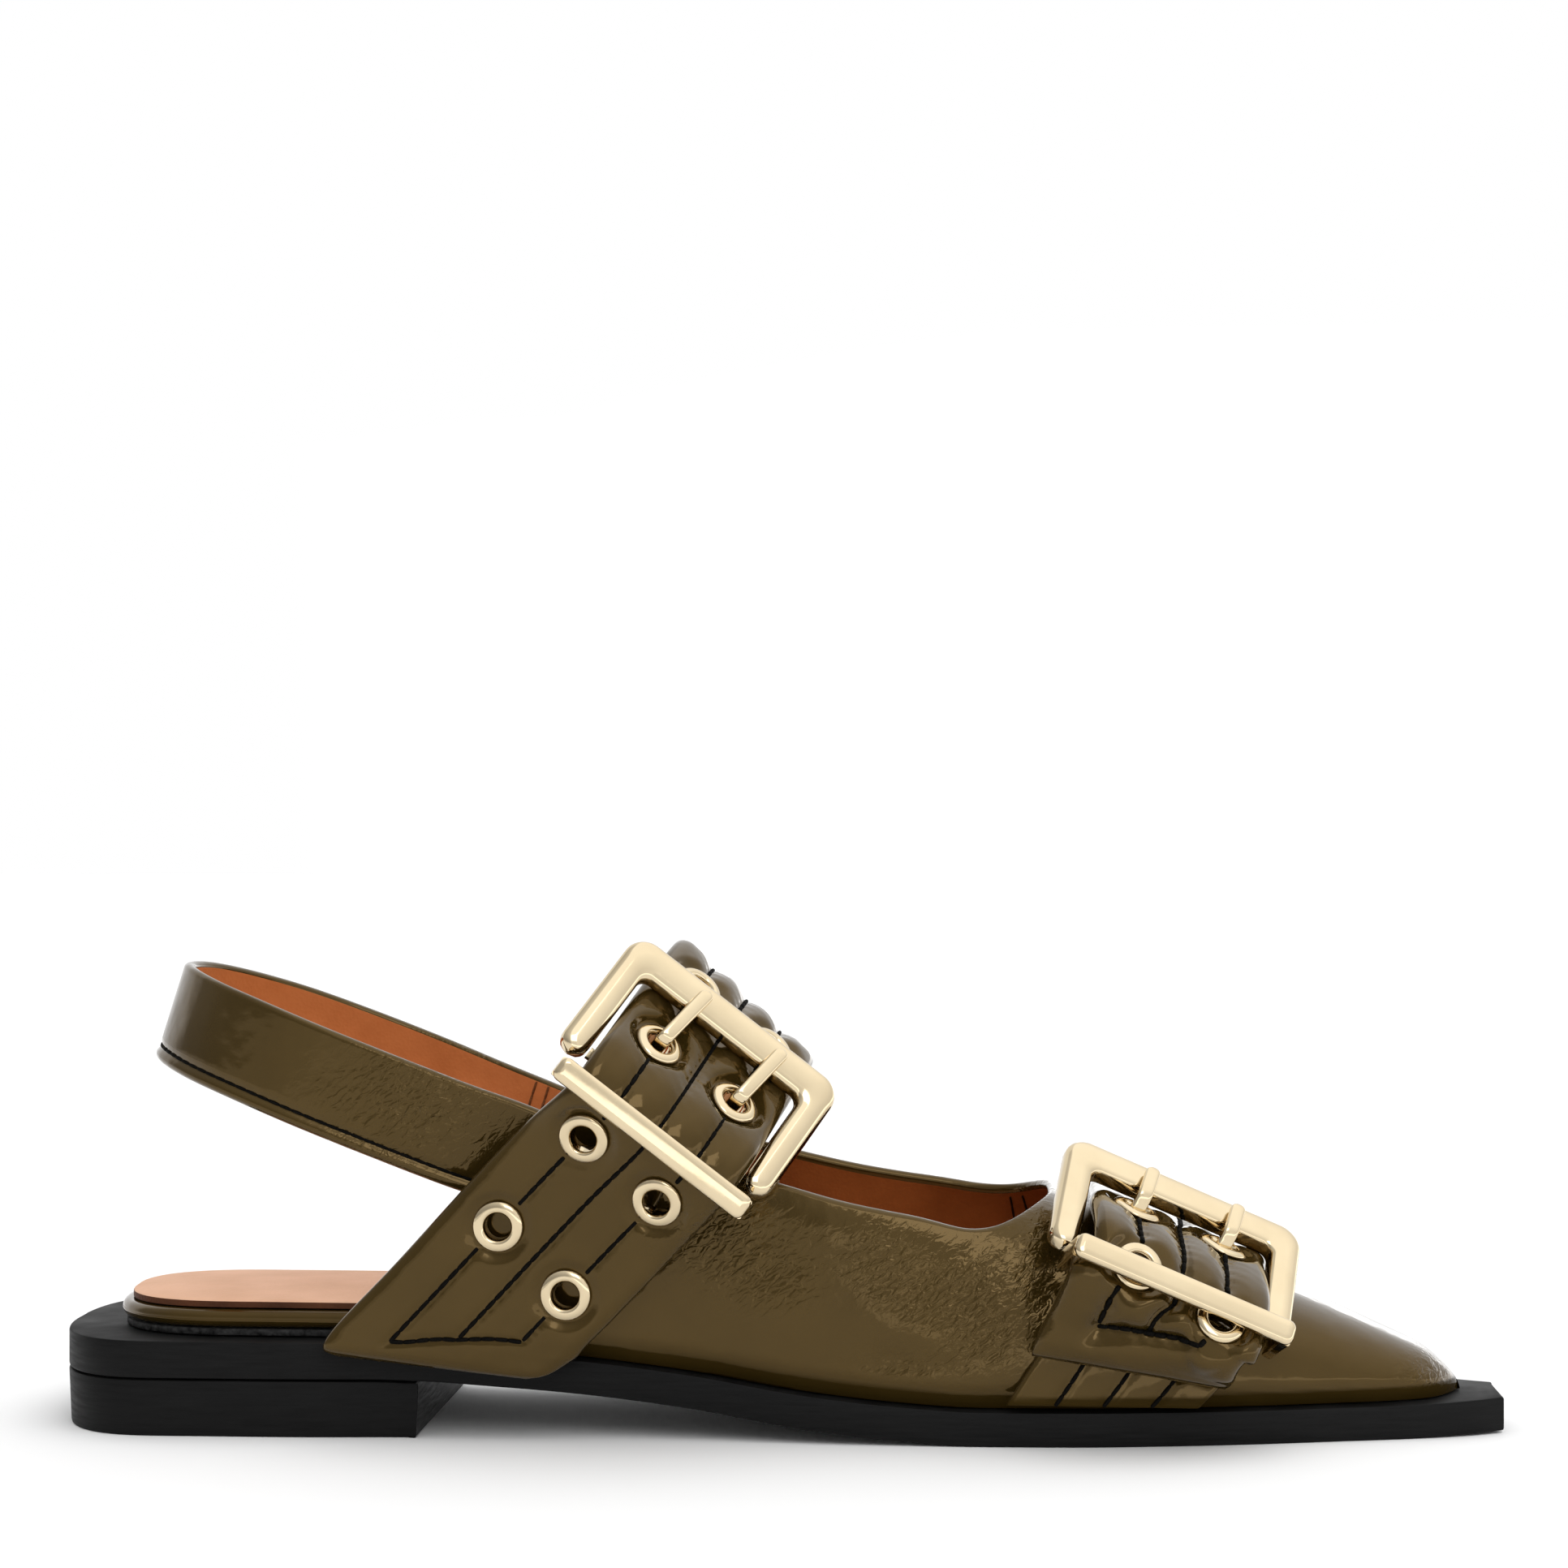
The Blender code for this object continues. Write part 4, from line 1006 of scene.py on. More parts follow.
instep_buckle = Buckle(pin=(116.8, -31.8, 59.9), top=(128.9, -19.6, 76.7), pitch=38.0, flare=5.4,
                       eyelet=(8.6, 1.0))
toe_buckle = Buckle(pin=(207.8, -28.4, 29.4), top=(211.4, -9.6, 43.8), pitch=23.5, flare=8.5,
                    eyelet=(12.6, 0.1))


def lying_row(x, angle, clear, slant, width, thick, turn=0.0):
    """Row of a strap that lies on the last, clear of it, its cross line turned about the wall."""
    fore = last_point(x + width * LYING_SHARE, angle)
    aft = last_point(x - width * LYING_SHARE, angle)
    pitch, flare = pitch_and_flare(fore - aft)
    return (*last_offset(x, angle, clear + thick / 2), pitch + turn, flare, slant, width, thick)


# From the free tail through the buckle and over the foot to the medial seam:
# x, y, z, pitch, flare, slant of the cross line, width, thick
INSTEP_ROWS = (
    (74.1, -33.8, 13.7, 43.5, 0.0, 0.80, 27.0, 2.6),
    (75.3, -33.9, 14.9, 43.5, 0.0, 0.80, 33.0, 3.4),
    (78.2, -34.0, 18.0, 43.5, 0.0, 0.76, 35.6, 3.8),
    (84.8, -34.3, 25.0, 44.5, 0.0, 0.42, 35.5, 4.2),
    (93.6, -34.9, 34.4, 45.0, 0.0, 0.08, 36.0, 4.2),
    (104.2, -36.3, 45.5, 44.5, 2.0, 0.0, 36.0, 4.2),
    instep_buckle.row(KEEPER_L, STRAP_AT_KEEPER),
    instep_buckle.row(0.0, STRAP_AT_PIN),
    instep_buckle.row(*instep_buckle.eyelet),
    instep_buckle.row(20.0, -5.0),
    (128.4, -1.0, 77.6, 42.0, 0.0, 0.0, 35.0, 4.2),
    (126.2, 14.5, 74.8, 42.0, 0.0, 0.0, 35.0, 4.2),
    (121.0, 24.4, 67.6, 42.0, 0.0, 0.0, 35.0, 4.2),
    (112.5, 29.0, 57.5, 42.0, 0.0, 0.0, 35.0, 4.0),
    (100.5, 30.3, 43.5, 42.0, 0.0, 0.0, 35.0, 3.6),
    (89.5, 29.9, 30.5, 42.0, 0.0, -0.45, 35.0, 2.8),
    (81.0, 29.2, 20.4, 42.0, 0.0, -0.72, 34.0, 2.0),
    (78.6, 29.0, 17.8, 42.0, 0.0, -0.80, 34.0, 2.0),
)
TOE_ROWS = (
    (200.2, -35.9, 14.4, 29.0, 6.0, 0.34, 34.6, 4.4),
    (200.8, -36.1, 15.8, 29.6, 5.7, 0.315, 35.2, 4.8),
    (202.2, -36.8, 18.8, 31.0, 5.0, 0.255, 35.4, 4.8),
    (205.2, -39.3, 25.0, 34.0, 2.0, 0.13, 35.0, 4.5),
    toe_buckle.row(KEEPER_L, STRAP_AT_KEEPER, turn=15.0),
    toe_buckle.row(0.0, STRAP_AT_PIN, turn=5.0),
    toe_buckle.row(*toe_buckle.eyelet),
    lying_row(209.5, 84.0, 0.8, 0.0, 35.0, 4.2),
    lying_row(209.5, 106.0, 0.7, 0.0, 35.0, 4.0),
    lying_row(208.0, 130.0, 0.6, 0.0, 35.0, 3.6),
    lying_row(205.0, 150.0, 0.6, 0.0, 35.0, 2.8),
    lying_row(201.0, 166.0, 0.6, 0.0, 35.0, 2.2),
    lying_row(199.0, 176.0, 0.6, 0.0, 35.0, 2.0),
)
INSTEP_EYELETS = (-49.8, -25.8, 0.0, 22.4)    # pairs of eyelets along the strap from the prongs
TOE_EYELETS = (-21.2, 0.0)
EYELET_PARTS = 12            # steps to a row at which the eyelets are placed


# Cross section of a strap: its middle, three directions, slant of the cross line, width, thickness
Section = namedtuple("Section", "middle along across out slant width thick")


def sections_of(samples):
    """Sections along a strap from rows x, y, z, pitch, flare, slant, width, thick."""
    sections = []
    for i, (x, y, z, pitch, flare, slant, width, thick) in enumerate(samples):
        ahead = Vector(samples[min(i + 1, len(samples) - 1)][:3])
        behind = Vector(samples[max(i - 1, 0)][:3])
        along = (ahead - behind).normalized()
        across = width_axis(pitch, flare)
        out = across.cross(along).normalized()
        sections.append(Section(Vector((x, y, z)), along, across, out, slant, width, thick))
    return sections


def runs(samples):
    """Distance of every sample along the strap."""
    distances = [0.0]
    for before, after in zip(samples, samples[1:]):
        distances.append(distances[-1] + math.dist(before[:3], after[:3]))
    return distances


class Band:
    """A strap laid out at even steps, with the heights of its two faces."""

    def __init__(self, rows, step=STEP):
        samples = through(rows, BAND_PARTS)
        distances = runs(samples)
        self.length = distances[-1]
        count = round(self.length / step)
        even = []
        k = 0
        for i in range(count + 1):
            run = self.length * i / count
            while k < len(distances) - 2 and distances[k + 1] < run:
                k += 1
            t = (run - distances[k]) / (distances[k + 1] - distances[k])
            even.append([between(a, b, t) for a, b in zip(samples[k], samples[k + 1])])
        self.sections = sections_of(even)
        self.runs = [self.length * i / count for i in range(count + 1)]

    def nearest(self, run):
        """Number of the section that is nearest to a run."""
        return min(range(len(self.runs)), key=lambda i: abs(self.runs[i] - run))

    def spot(self, i, w, n=0.0):
        """Point of section i, w across the strap and n out of its middle."""
        at = self.sections[i]
        return at.middle + at.across * w + at.along * (at.slant * w) + at.out * n

    def outer(self, i, w):
        """Height n of the outer face."""
        return self.sections[i].thick / 2 * self.edge(i, w, OUTER_EDGE)

    def inner(self, i, w):
        """Height n of the back."""
        return -self.sections[i].thick / 2 * self.edge(i, w, INNER_EDGE)

    def edge(self, i, w, rounding):
        """Share of the thickness that is left near the band's edges."""
        half = self.sections[i].width / 2
        t = max(abs(w) - (half - rounding), 0.0) / rounding
        return math.sqrt(max(1 - t * t, 0.0))

    def line(self, w, rise):
        """Points over the outer face along the band at w, each with its outward direction."""
        return [(self.spot(i, w, self.outer(i, w) + rise), at.out) for i, at in enumerate(self.sections)]

    def rings(self, shares):
        """Closed rings: the outer face in the order of shares, then the back."""
        rings = []
        for i, at in enumerate(self.sections):
            across = [share * at.width / 2 for share in shares]
            ring = [self.spot(i, w, self.outer(i, w)) for w in across]
            ring += [self.spot(i, w, self.inner(i, w)) for w in reversed(across[1:-1])]
            rings.append(ring)
        return rings


def edge_shares(count, crowd=1.6):
    """Shares -1..1 across a band, closer together at its edges."""
    shares = []
    for t in spread(-1.0, 1.0, count):
        shares.append(math.copysign(1 - (1 - abs(t)) ** crowd, t))
    return shares


# Quilting along a padded strap from its tail: run, share of GROOVE_DROP, how full the channels are
DEPTH, FULLNESS = 1, 2
INSTEP_QUILTING = (
    (0, 0.40, 0.10),
    (45, 0.45, 0.10),
    (68, 0.9, 0.8),
    (92, 1.1, 1.0),
    (105, 1.5, 1.0),
    (180, 1.0, 1.0),
)
TOE_QUILTING = (
    (0, 2.0, 1.0),
    (14, 1.9, 1.0),
    (40, 1.4, 1.0),
    (130, 1.0, 1.0),
)
INSTEP_BOX = (5.0, 10.0)     # run of the cross line of stitches at the first and the last stitch line
TOE_BOX = (6.5, 11.5)
INSTEP_THREAD = 0.42         # radius of the thread
TOE_THREAD = 0.52
LOBE_POWER = 0.75            # a low power makes the channels fuller and the grooves sharper
PUCKER_REACH = 2.0           # the leather puckers this far from a stitch line
PUCKER = (0.04, 0.13)        # its height in a flat and in a full channel
PUCKER_SLANT = 0.5           # how far the puckers lean along the strap
PUCKER_SWAY = 1.5            # how far they stray, in radians, over patches of PUCKER_PATCH
PUCKER_PATCH = 6.0
PUCKER_LAYER = 7.0           # slice of the noise
LUMP = (0.05, 0.20)          # height of the padding's lumps in a flat and in a full channel
LUMP_SIZE = (9.0, 6.0)       # their size along and across the strap
TAIL_ROUND = 0.8             # how much longer the rounding of a full tail's end is than its edges'
TAIL_LEFT = 0.1              # share of the thickness left at the very end
GROOVE_HALF = 0.9            # half width of the groove that a stitch line draws into a flat channel
FLAT_DROP = 0.6              # a flat channel is thinner by this much
LASTED_END = 4.0             # the stitch lines end this far before the medial seam
STITCH = 2.4                 # length of a stitch with its gap
STITCH_RISE = 0.2            # height of a stitch's middle above a groove of full depth
STITCH_CLEAR = 0.5           # the stitch lines stop this far from an eyelet's seat
CROSS_SAMPLES = 40           # points along the cross line


class PaddedBand(Band):
    """Strap quilted by stitch lines that begin at a cross line, with seats for its eyelets."""

    def __init__(self, rows, box_run, quilting, eyelets):
        super().__init__(rows)
        self.box_run = box_run
        self.eyelets = eyelets
        self.depth = Curve(quilting, DEPTH)
        self.fullness = Curve(quilting, FULLNESS)

    def box_line(self, w):
        """Run of the cross line where it passes w."""
        return between(*self.box_run, (w / STITCH_OFFSETS[-1] + 1) / 2)

    def seam_distance(self, i, w):
        """Distance to the nearest stitch line."""
        run = self.runs[i]
        nearest = min(math.hypot(w - line, max(self.box_line(line) - run, 0.0))
                      for line in STITCH_OFFSETS)
        if abs(w) <= STITCH_OFFSETS[-1]:
            nearest = min(nearest, abs(run - self.box_line(w)))
        return nearest

    def seat(self, i, w, n, seat_n, radius, reach, hold):
        """Height drawn to the eyelets' seats by the share that holds there."""
        spot = self.spot(i, w)
        for centre, out in self.eyelets:
            arm = spot - centre
            if arm.length > reach + SEAT_HEIGHT:
                continue
            height = arm.dot(out)
            away = math.sqrt(max(arm.length_squared - height * height, 0.0))
            if away < reach:
                n += (seat_n - height - n) * (1 - ease((away - radius) / (reach - radius))) * hold
        return n

    def outer(self, i, w):
        thick = self.sections[i].thick
        run = self.runs[i]
        full = self.fullness(run)
        tail = max(1 - run / (PAD_EDGE * (1 + TAIL_ROUND * full)), 0.0)
        rim = self.edge(i, w, PAD_EDGE) * max(math.sqrt(1 - tail * tail), TAIL_LEFT)
        away = self.seam_distance(i, w)
        lobe = 1 - math.sin(math.pi / 2 * min(away / CHANNEL_HALF, 1.0)) ** LOBE_POWER
        valley = between(math.exp(-(away / GROOVE_HALF) ** 2), lobe, full)
        drop = GROOVE_DROP * thick / STRAP_THICK * self.depth(run)
        sway = PUCKER_SWAY * noise.noise(Vector((run / PUCKER_PATCH, w / PUCKER_PATCH, PUCKER_LAYER)))
        ripple = math.sin(2 * math.pi * (run + PUCKER_SLANT * w) / STITCH + sway)
        pucker = between(*PUCKER, full) * math.exp(-away / PUCKER_REACH) * ripple
        lump = between(*LUMP, full) * noise.noise(Vector((run / LUMP_SIZE[0], w / LUMP_SIZE[1], thick)))
        n = (thick / 2 - FLAT_DROP * (1 - full) - drop * valley + pucker + lump) * rim
        return self.seat(i, w, n, SEAT_N, SEAT_RADIUS, SEAT_REACH, min(2 * rim, 1.0))

    def inner(self, i, w):
        rim = self.edge(i, w, PAD_BACK_EDGE)
        n = -self.sections[i].thick / 2 * rim
        return self.seat(i, w, n, BACK_SEAT_N, BACK_SEAT_RADIUS, BACK_SEAT_REACH, rim)

    def thread_height(self, i, w):
        """Height n of a stitch's middle."""
        return self.outer(i, w) + STITCH_RISE * self.depth(self.runs[i])

    def clear_of_eyelets(self, spot):
        """Whether a stitch may stand at a spot."""
        return all((spot - centre).length > SEAT_RADIUS + STITCH_CLEAR for centre, out in self.eyelets)

    def stitch_paths(self, stop):
        """Paths of points and outward directions along the stitch lines and the cross line."""
        paths = []
        for line in STITCH_OFFSETS:
            path = []
            for i, run in enumerate(self.runs):
                spot = self.spot(i, line, self.thread_height(i, line))
                if self.box_line(line) <= run <= stop and self.clear_of_eyelets(spot):
                    path.append((spot, self.sections[i].out))
                elif path:
                    paths.append(path)
                    path = []
            if path:
                paths.append(path)
        cross = []
        for w in spread(STITCH_OFFSETS[0], STITCH_OFFSETS[-1], CROSS_SAMPLES):
            i = self.nearest(self.box_line(w))
            cross.append((self.spot(i, w, self.thread_height(i, w)), self.sections[i].out))
        paths.append(cross)
        return paths


THREAD_SIDES = 6
STITCH_FORM = (              # share of a stitch's length, share of its radius
    (0.0, 0.75),
    (0.12, 0.93),
    (0.5, 1.0),
    (0.88, 0.93),
    (1.0, 0.75),
)


def stitches(name, paths, look, radius):
    """One mesh of rounded stitches, end to end along paths of points and outward directions."""
    lofts = []
    for path in paths:
        spots = [spot for spot, out in path]
        distances = runs(spots)
        count = max(int(distances[-1] / STITCH), 1)
        pitch = distances[-1] / count

        def along(run):
            k = max(i for i in range(len(distances) - 1) if distances[i] <= run)
            t = (run - distances[k]) / (distances[k + 1] - distances[k])
            return spots[k].lerp(spots[k + 1], min(t, 1.0)), path[k][1]

        for s in range(count):
            start, out = along(s * pitch)
            stop, _ = along((s + 1) * pitch)
            run = stop - start
            side = run.cross(out).normalized()
            rings = []
            for t, size in STITCH_FORM:
                centre = start + run * t + out * (radius * (size - 1.0))
                ring = []
                for k in range(THREAD_SIDES):
                    turn = math.pi * k / (THREAD_SIDES / 2)
                    ring.append(centre + (side * math.cos(turn) + out * math.sin(turn)) * (radius * size))
                rings.append(ring)
            lofts.append(rings)
    settle(name, mesh_of(name, *gathered(lofts), [look]), "patent")


def turned(profile, centre, out, steps):
    """Rings of a turned body about an axis, from radius and height pairs."""
    side = out.orthogonal().normalized()
    other = out.cross(side)
    rings = []
    for radius, height in profile:
        ring = []
        for k in range(steps):
            turn = 2 * math.pi * k / steps
            ring.append(centre + out * height + (side * math.cos(turn) + other * math.sin(turn)) * radius)
        rings.append(ring)
    return rings


def eyelet_places(rows, buckle, pairs):
    """Name end, centre and outward direction of every eyelet."""
    samples = through(rows, EYELET_PARTS)
    sections = sections_of(samples)
    distances = runs(samples)
    hole = buckle.point(*buckle.eyelet)
    prong_run = distances[min(range(len(sections)), key=lambda i: (sections[i].middle - hole).length)]
    places = []
    for pair, offset in enumerate(pairs):
        nearest = min(range(len(sections)), key=lambda i: abs(distances[i] - prong_run - offset))
        at = sections[nearest]
        for side, w in (("rear", STITCH_OFFSETS[0]), ("front", STITCH_OFFSETS[-1])):
            places.append(("eyelet_%d_%s" % (pair + 1, side), at.middle + at.across * w, at.out))
    return places


def bore(obj, places):
    """Cuts the eyelets' holes through a strap."""
    profile = ((BORE, -BORE_REACH), (BORE, BORE_REACH))
    lofts = [turned(profile, centre, out, BORE_STEPS) for end, centre, out in places]
    cutter = added("bores", mesh_of("bores", *gathered(lofts), [PATENT]))
    cut = obj.modifiers.new("bores", "BOOLEAN")
    cut.operation = "DIFFERENCE"
    cut.solver = "EXACT"
    cut.object = cutter
    depsgraph = bpy.context.evaluated_depsgraph_get()
    whole = bpy.data.meshes.new_from_object(obj.evaluated_get(depsgraph))
    obj.modifiers.clear()
    obj.data = whole
    bpy.data.objects.remove(cutter, do_unlink=True)


def padded_strap(name, rows, buckle, pairs, box_run, quilting, thread_radius):
    """Quilted strap with its bores, stitches and eyelets."""
    places = eyelet_places(rows, buckle, pairs)
    band = PaddedBand(rows, box_run, quilting, [(centre, out) for end, centre, out in places])
    rings = band.rings(edge_shares(PAD_SHARES))
    obj = lofted(name + "_leather", rings, PATENT, "patent", name)
    paint(obj.data, flatten(rings), "crinkle", crinkle_at)
    bore(obj, places)
    stitches(name + "_stitches", band.stitch_paths(band.length - LASTED_END), BLACK_THREAD, thread_radius)
    for end, centre, out in places:
        rings = turned(EYELET_PROFILE, centre, out, EYELET_STEPS)
        node = "%s_%s" % (name, end)
        mesh = mesh_of(node + "_ring", flatten(rings), grid(rings, wrap=True), [GOLD])
        settle(node + "_ring", mesh, "metal", node)


TONGUE = (                   # l, n of a fixed strap's tongue, up behind the pin and over it
    (-3.4, -2.9),
    (-1.4, -2.0),
    (0.6, -2.0),
    (1.95, -0.8),
    (1.95, 0.8),
    (0.6, 2.0),
)


def loop_rows(buckle):
    """Rows of the tongue that holds a buckle's pin."""
    return tuple(buckle.row(l, n, LOOP_WIDTH, LOOP_THICK) for l, n in TONGUE)


INSTEP_BASE = (
    lying_row(83.0, 2.5, 0.7, 0.75, 22.0, BASE_THICK, turn=40.0),
    lying_row(88.0, 8.0, 0.7, 0.55, 24.0, BASE_THICK, turn=36.0),
    lying_row(97.0, 16.0, 0.7, 0.15, 25.0, BASE_THICK, turn=30.0),
    lying_row(106.5, 24.0, 0.7, 0.0, 24.0, BASE_THICK, turn=22.0),
) + loop_rows(instep_buckle)
TOE_BASE = (
    lying_row(195.6, 1.0, 0.6, 0.0, 35.0, BASE_THICK),
    lying_row(199.6, 9.0, 0.6, 0.0, 35.0, BASE_THICK),
    lying_row(203.6, 21.0, 0.6, 0.0, 34.0, BASE_THICK),
    lying_row(205.4, 34.0, 0.6, 0.0, 28.0, BASE_THICK),
) + loop_rows(toe_buckle)


BASE_GROOVE = 0.4            # depth of a stitched groove
BASE_GROOVE_HALF = 1.0
BASE_FLAT, BASE_QUILTED = 22.0, 30.0  # widths at which the grooves begin and have their full depth
BASE_STITCHED = 26.0         # width above which the base is stitched
BASE_STITCH_RISE = 0.1
BASE_THREAD = 0.42


class BaseBand(Band):
    """Fixed strap with shallow stitched grooves."""

    def outer(self, i, w):
        away = min(abs(w - line) for line in STITCH_OFFSETS)
        share = ease((self.sections[i].width - BASE_FLAT) / (BASE_QUILTED - BASE_FLAT))
        groove = BASE_GROOVE * math.exp(-(away / BASE_GROOVE_HALF) ** 2) * share
        return super().outer(i, w) - groove

    def stitch_paths(self):
        """The stitch lines of the wide part."""
        paths = []
        for offset in STITCH_OFFSETS:
            line = zip(self.line(offset, BASE_STITCH_RISE), self.sections)
            paths.append([place_and_out for place_and_out, at in line if at.width > BASE_STITCHED])
        return paths


def bases():
    """The fixed straps that hold the buckles; the toe's shows its stitches."""
    for name, rows in (("instep_strap_base", INSTEP_BASE), ("toe_strap_base", TOE_BASE)):
        band = BaseBand(rows)
        rings = band.rings(edge_shares(BASE_SHARES))
        obj = lofted(name + "_leather", rings, PATENT, "patent", name)
        paint(obj.data, flatten(rings), "crinkle", crinkle_at)
        # painted shade: the gloss is dimmed near the sole
        paint(obj.data, flatten(rings), "feather_shade", feather_shade_at)
        if rows is TOE_BASE:
            stitches(name + "_stitches", band.stitch_paths(), BLACK_THREAD, BASE_THREAD)


# Slingback strap, from the lateral quarter round the heel to the medial one
SLING_SIDE = (               # x, lateral y, medial y, z
    (94.0, -23.2, 21.5, 48.8),
    (86.0, -23.6, 22.1, 52.0),
    (77.0, -25.0, 24.2, 55.3),
    (64.0, -26.2, 26.0, 60.4),
    (50.0, -25.6, 25.6, 65.8),
    (38.5, -22.8, 22.8, 70.2),
    (28.8, -17.4, 17.4, 73.6),
    (22.2, -9.3, 9.3, 75.8),
)
SLING_BACK = (19.8, 0.0, 76.4)
SLING_PITCH = -72.5
SLING_SEAM = 2.7             # stitch line above the lower edge
SLING_GROOVE = (0.5, 0.7)    # depth and half width of the stitched groove
SLING_ROLL = (0.25, 0.9)     # height and half width of the roll below it
SLING_ROLL_DROP = 1.4        # from the groove down to the roll
SLING_WAVE = 0.18            # unevenness of the lining
SLING_WAVE_SIZE = (9.0, 12.0)         # size of its waves along and across the strap
SLING_WAVE_LAYER = 3.0       # slice of the noise
SLING_WAVE_EDGE = 2.0        # width over which the waves die out at the edges
SLING_STITCH_RISE = 0.12
SLING_THREAD = 0.32
SLING_END_SEAMS = (8.6, 11.0)         # two rows of lining stitches from the medial end
SLING_END_REACH = (-7.6, 8.6)         # their ends across the strap
SLING_END_SAMPLES = 30
SLING_END_SINK = 0.05
SLING_END_THREAD = 0.26
SLING_FOLD = 3               # faces that the patent leather is folded over the top edge


class SlingBand(Band):
    """Heel strap with a rolled strip below its stitch line."""

    def outer(self, i, w):
        above = w - SLING_SEAM + self.sections[i].width / 2
        groove = SLING_GROOVE[0] * math.exp(-(above / SLING_GROOVE[1]) ** 2)
        roll = SLING_ROLL[0] * math.exp(-((above + SLING_ROLL_DROP) / SLING_ROLL[1]) ** 2)
        return super().outer(i, w) - groove + roll

    def inner(self, i, w):
        length, width = SLING_WAVE_SIZE
        wave = SLING_WAVE * noise.noise(Vector((self.runs[i] / length, w / width, SLING_WAVE_LAYER)))
        return super().inner(i, w) + wave * self.edge(i, w, SLING_WAVE_EDGE)


def slingback():
    """Heel strap, patent outside and tan inside, with its stitches."""
    points = [(x, y, z) for x, y, _, z in SLING_SIDE] + [SLING_BACK]
    points += [(x, y, z) for x, _, y, z in reversed(SLING_SIDE)]
    rows = [(*p, SLING_PITCH, 0.0, 0.0, SLING_WIDTH, SLING_THICK) for p in points]
    band = SlingBand(rows)
    rings = band.rings(edge_shares(SLING_SHARES))
    faces = grid(rings)
    size = len(rings[0])
    marks = []
    for face in faces:
        inside = len(face) == 4 and all(corner % size >= SLING_SHARES + SLING_FOLD for corner in face)
        marks.append(1 if inside else 0)
    spots = flatten(rings)
    mesh = mesh_of("slingback_leather", spots, faces, [PATENT, SLING_LINING], marks)
    paint(mesh, spots, "crinkle", crinkle_at)
    settle("slingback_leather", mesh, "patent", "slingback_strap")
    seam = SLING_SEAM - SLING_WIDTH / 2
    stitches("slingback_stitches", [band.line(seam, SLING_STITCH_RISE)], BLACK_THREAD, SLING_THREAD)
    paths = []
    for end in SLING_END_SEAMS:
        i = band.nearest(band.length - end)
        inward = -band.sections[i].out
        paths.append([(band.spot(i, w, band.inner(i, w) - SLING_END_SINK), inward)
                      for w in spread(*SLING_END_REACH, SLING_END_SAMPLES)])
    stitches("slingback_lining_stitches", paths, BROWN_THREAD, SLING_END_THREAD)


# Buckles
FRAME_SECTION = (            # share of the bar from its inner to its outer edge, n
    (0.02, -1.6),
    (0.0, -1.2),
    (0.0, 0.9),
    (0.02, 1.3),
    (0.07, 1.62),
    (0.16, 1.86),
    (0.3, 2.02),
    (0.45, 2.08),
    (0.6, 2.04),
    (0.74, 1.92),
    (0.85, 1.7),
    (0.93, 1.36),
    (0.98, 0.95),
    (1.0, 0.5),
    (1.0, -1.0),
    (0.97, -1.5),
    (0.9, -1.85),
    (0.78, -2.0),
    (0.14, -2.0),
    (0.06, -1.86),
)


def frame_edge(half, top, corner):
    """Points w, l from the rear foot round a frame's edge to the front foot."""
    points = [Vector((-half, l)) for l in spread(-FRAME_FOOT, top - corner, SIDE_STATIONS)]
    for degrees in spread(0.0, 90.0, CORNER_STATIONS)[1:]:
        turn = math.radians(degrees)
        points.append(Vector((-half + corner * (1 - math.cos(turn)), top - corner * (1 - math.sin(turn)))))
    points += [Vector((w, top)) for w in spread(corner - half, 0.0, TOP_STATIONS)[1:]]
    return points + [Vector((-p.x, p.y)) for p in reversed(points[:-1])]


def frame_metal(name, buckle, node):
    """Buckle frame: a full, rounded section carried between its two edges, with round feet."""
    half = FRAME_WIDTH / 2
    inner = frame_edge(half - FRAME_BAR, FRAME_TOP - FRAME_TOP_BAR, FRAME_INNER_CORNER)
    outer = frame_edge(half, FRAME_TOP, FRAME_CORNER)
    foot = FRAME_BAR / 2
    rings = []
    for a, b in zip(inner, outer):
        from_foot = min((a.y + b.y) / 2 + FRAME_FOOT, foot) / foot
        full = max(math.sqrt(max(1 - (1 - from_foot) ** 2, 0.0)), FRAME_FOOT_LEAST)
        middle = (a + b) / 2
        ring = []
        for share, n in FRAME_SECTION:
            spot = middle.lerp(a.lerp(b, share), full)
            ring.append(buckle.point(spot.y, n * between(FRAME_FOOT_THICK, 1.0, full), spot.x))
        rings.append(ring)
    lofted(name, rings, GOLD, "metal", node, sharp=60)


KEEPER_PILLOW = (            # inset of the bar's outline, height above its under side
    (0.5, 0.0),
    (0.12, 0.15),
    (0.0, 0.5),
    (0.0, 1.15),
    (0.1, 1.5),
    (0.35, 1.78),
    (0.8, 1.93),
    (1.5, 2.0),
)


CORNER_SHRINK = 0.7          # how fast the outline's corners shrink with its inset
LUG_HALF = KEEPER_BAR / 2 - 0.3
LUG_CORNER = 0.5
LUG_FORM = (                 # depth below the bar, share of the lug's section
    (0.0, 1.0),
    (KEEPER_LUG - 1.0, 1.0),
    (KEEPER_LUG - 0.3, 0.85),
    (KEEPER_LUG, 0.6),
)


def rounded_bar(half_length, half_width, radius):
    """Points w, l of a rectangle with round corners."""
    points = []
    for side_w, side_l, first in ((1, 1, 0), (-1, 1, 90), (-1, -1, 180), (1, -1, 270)):
        for degrees in spread(first, first + 90, KEEPER_CORNER_STEPS):
            turn = math.radians(degrees)
            points.append((side_w * (half_length - radius) + radius * math.cos(turn),
                           side_l * (half_width - radius) + radius * math.sin(turn)))
    return points


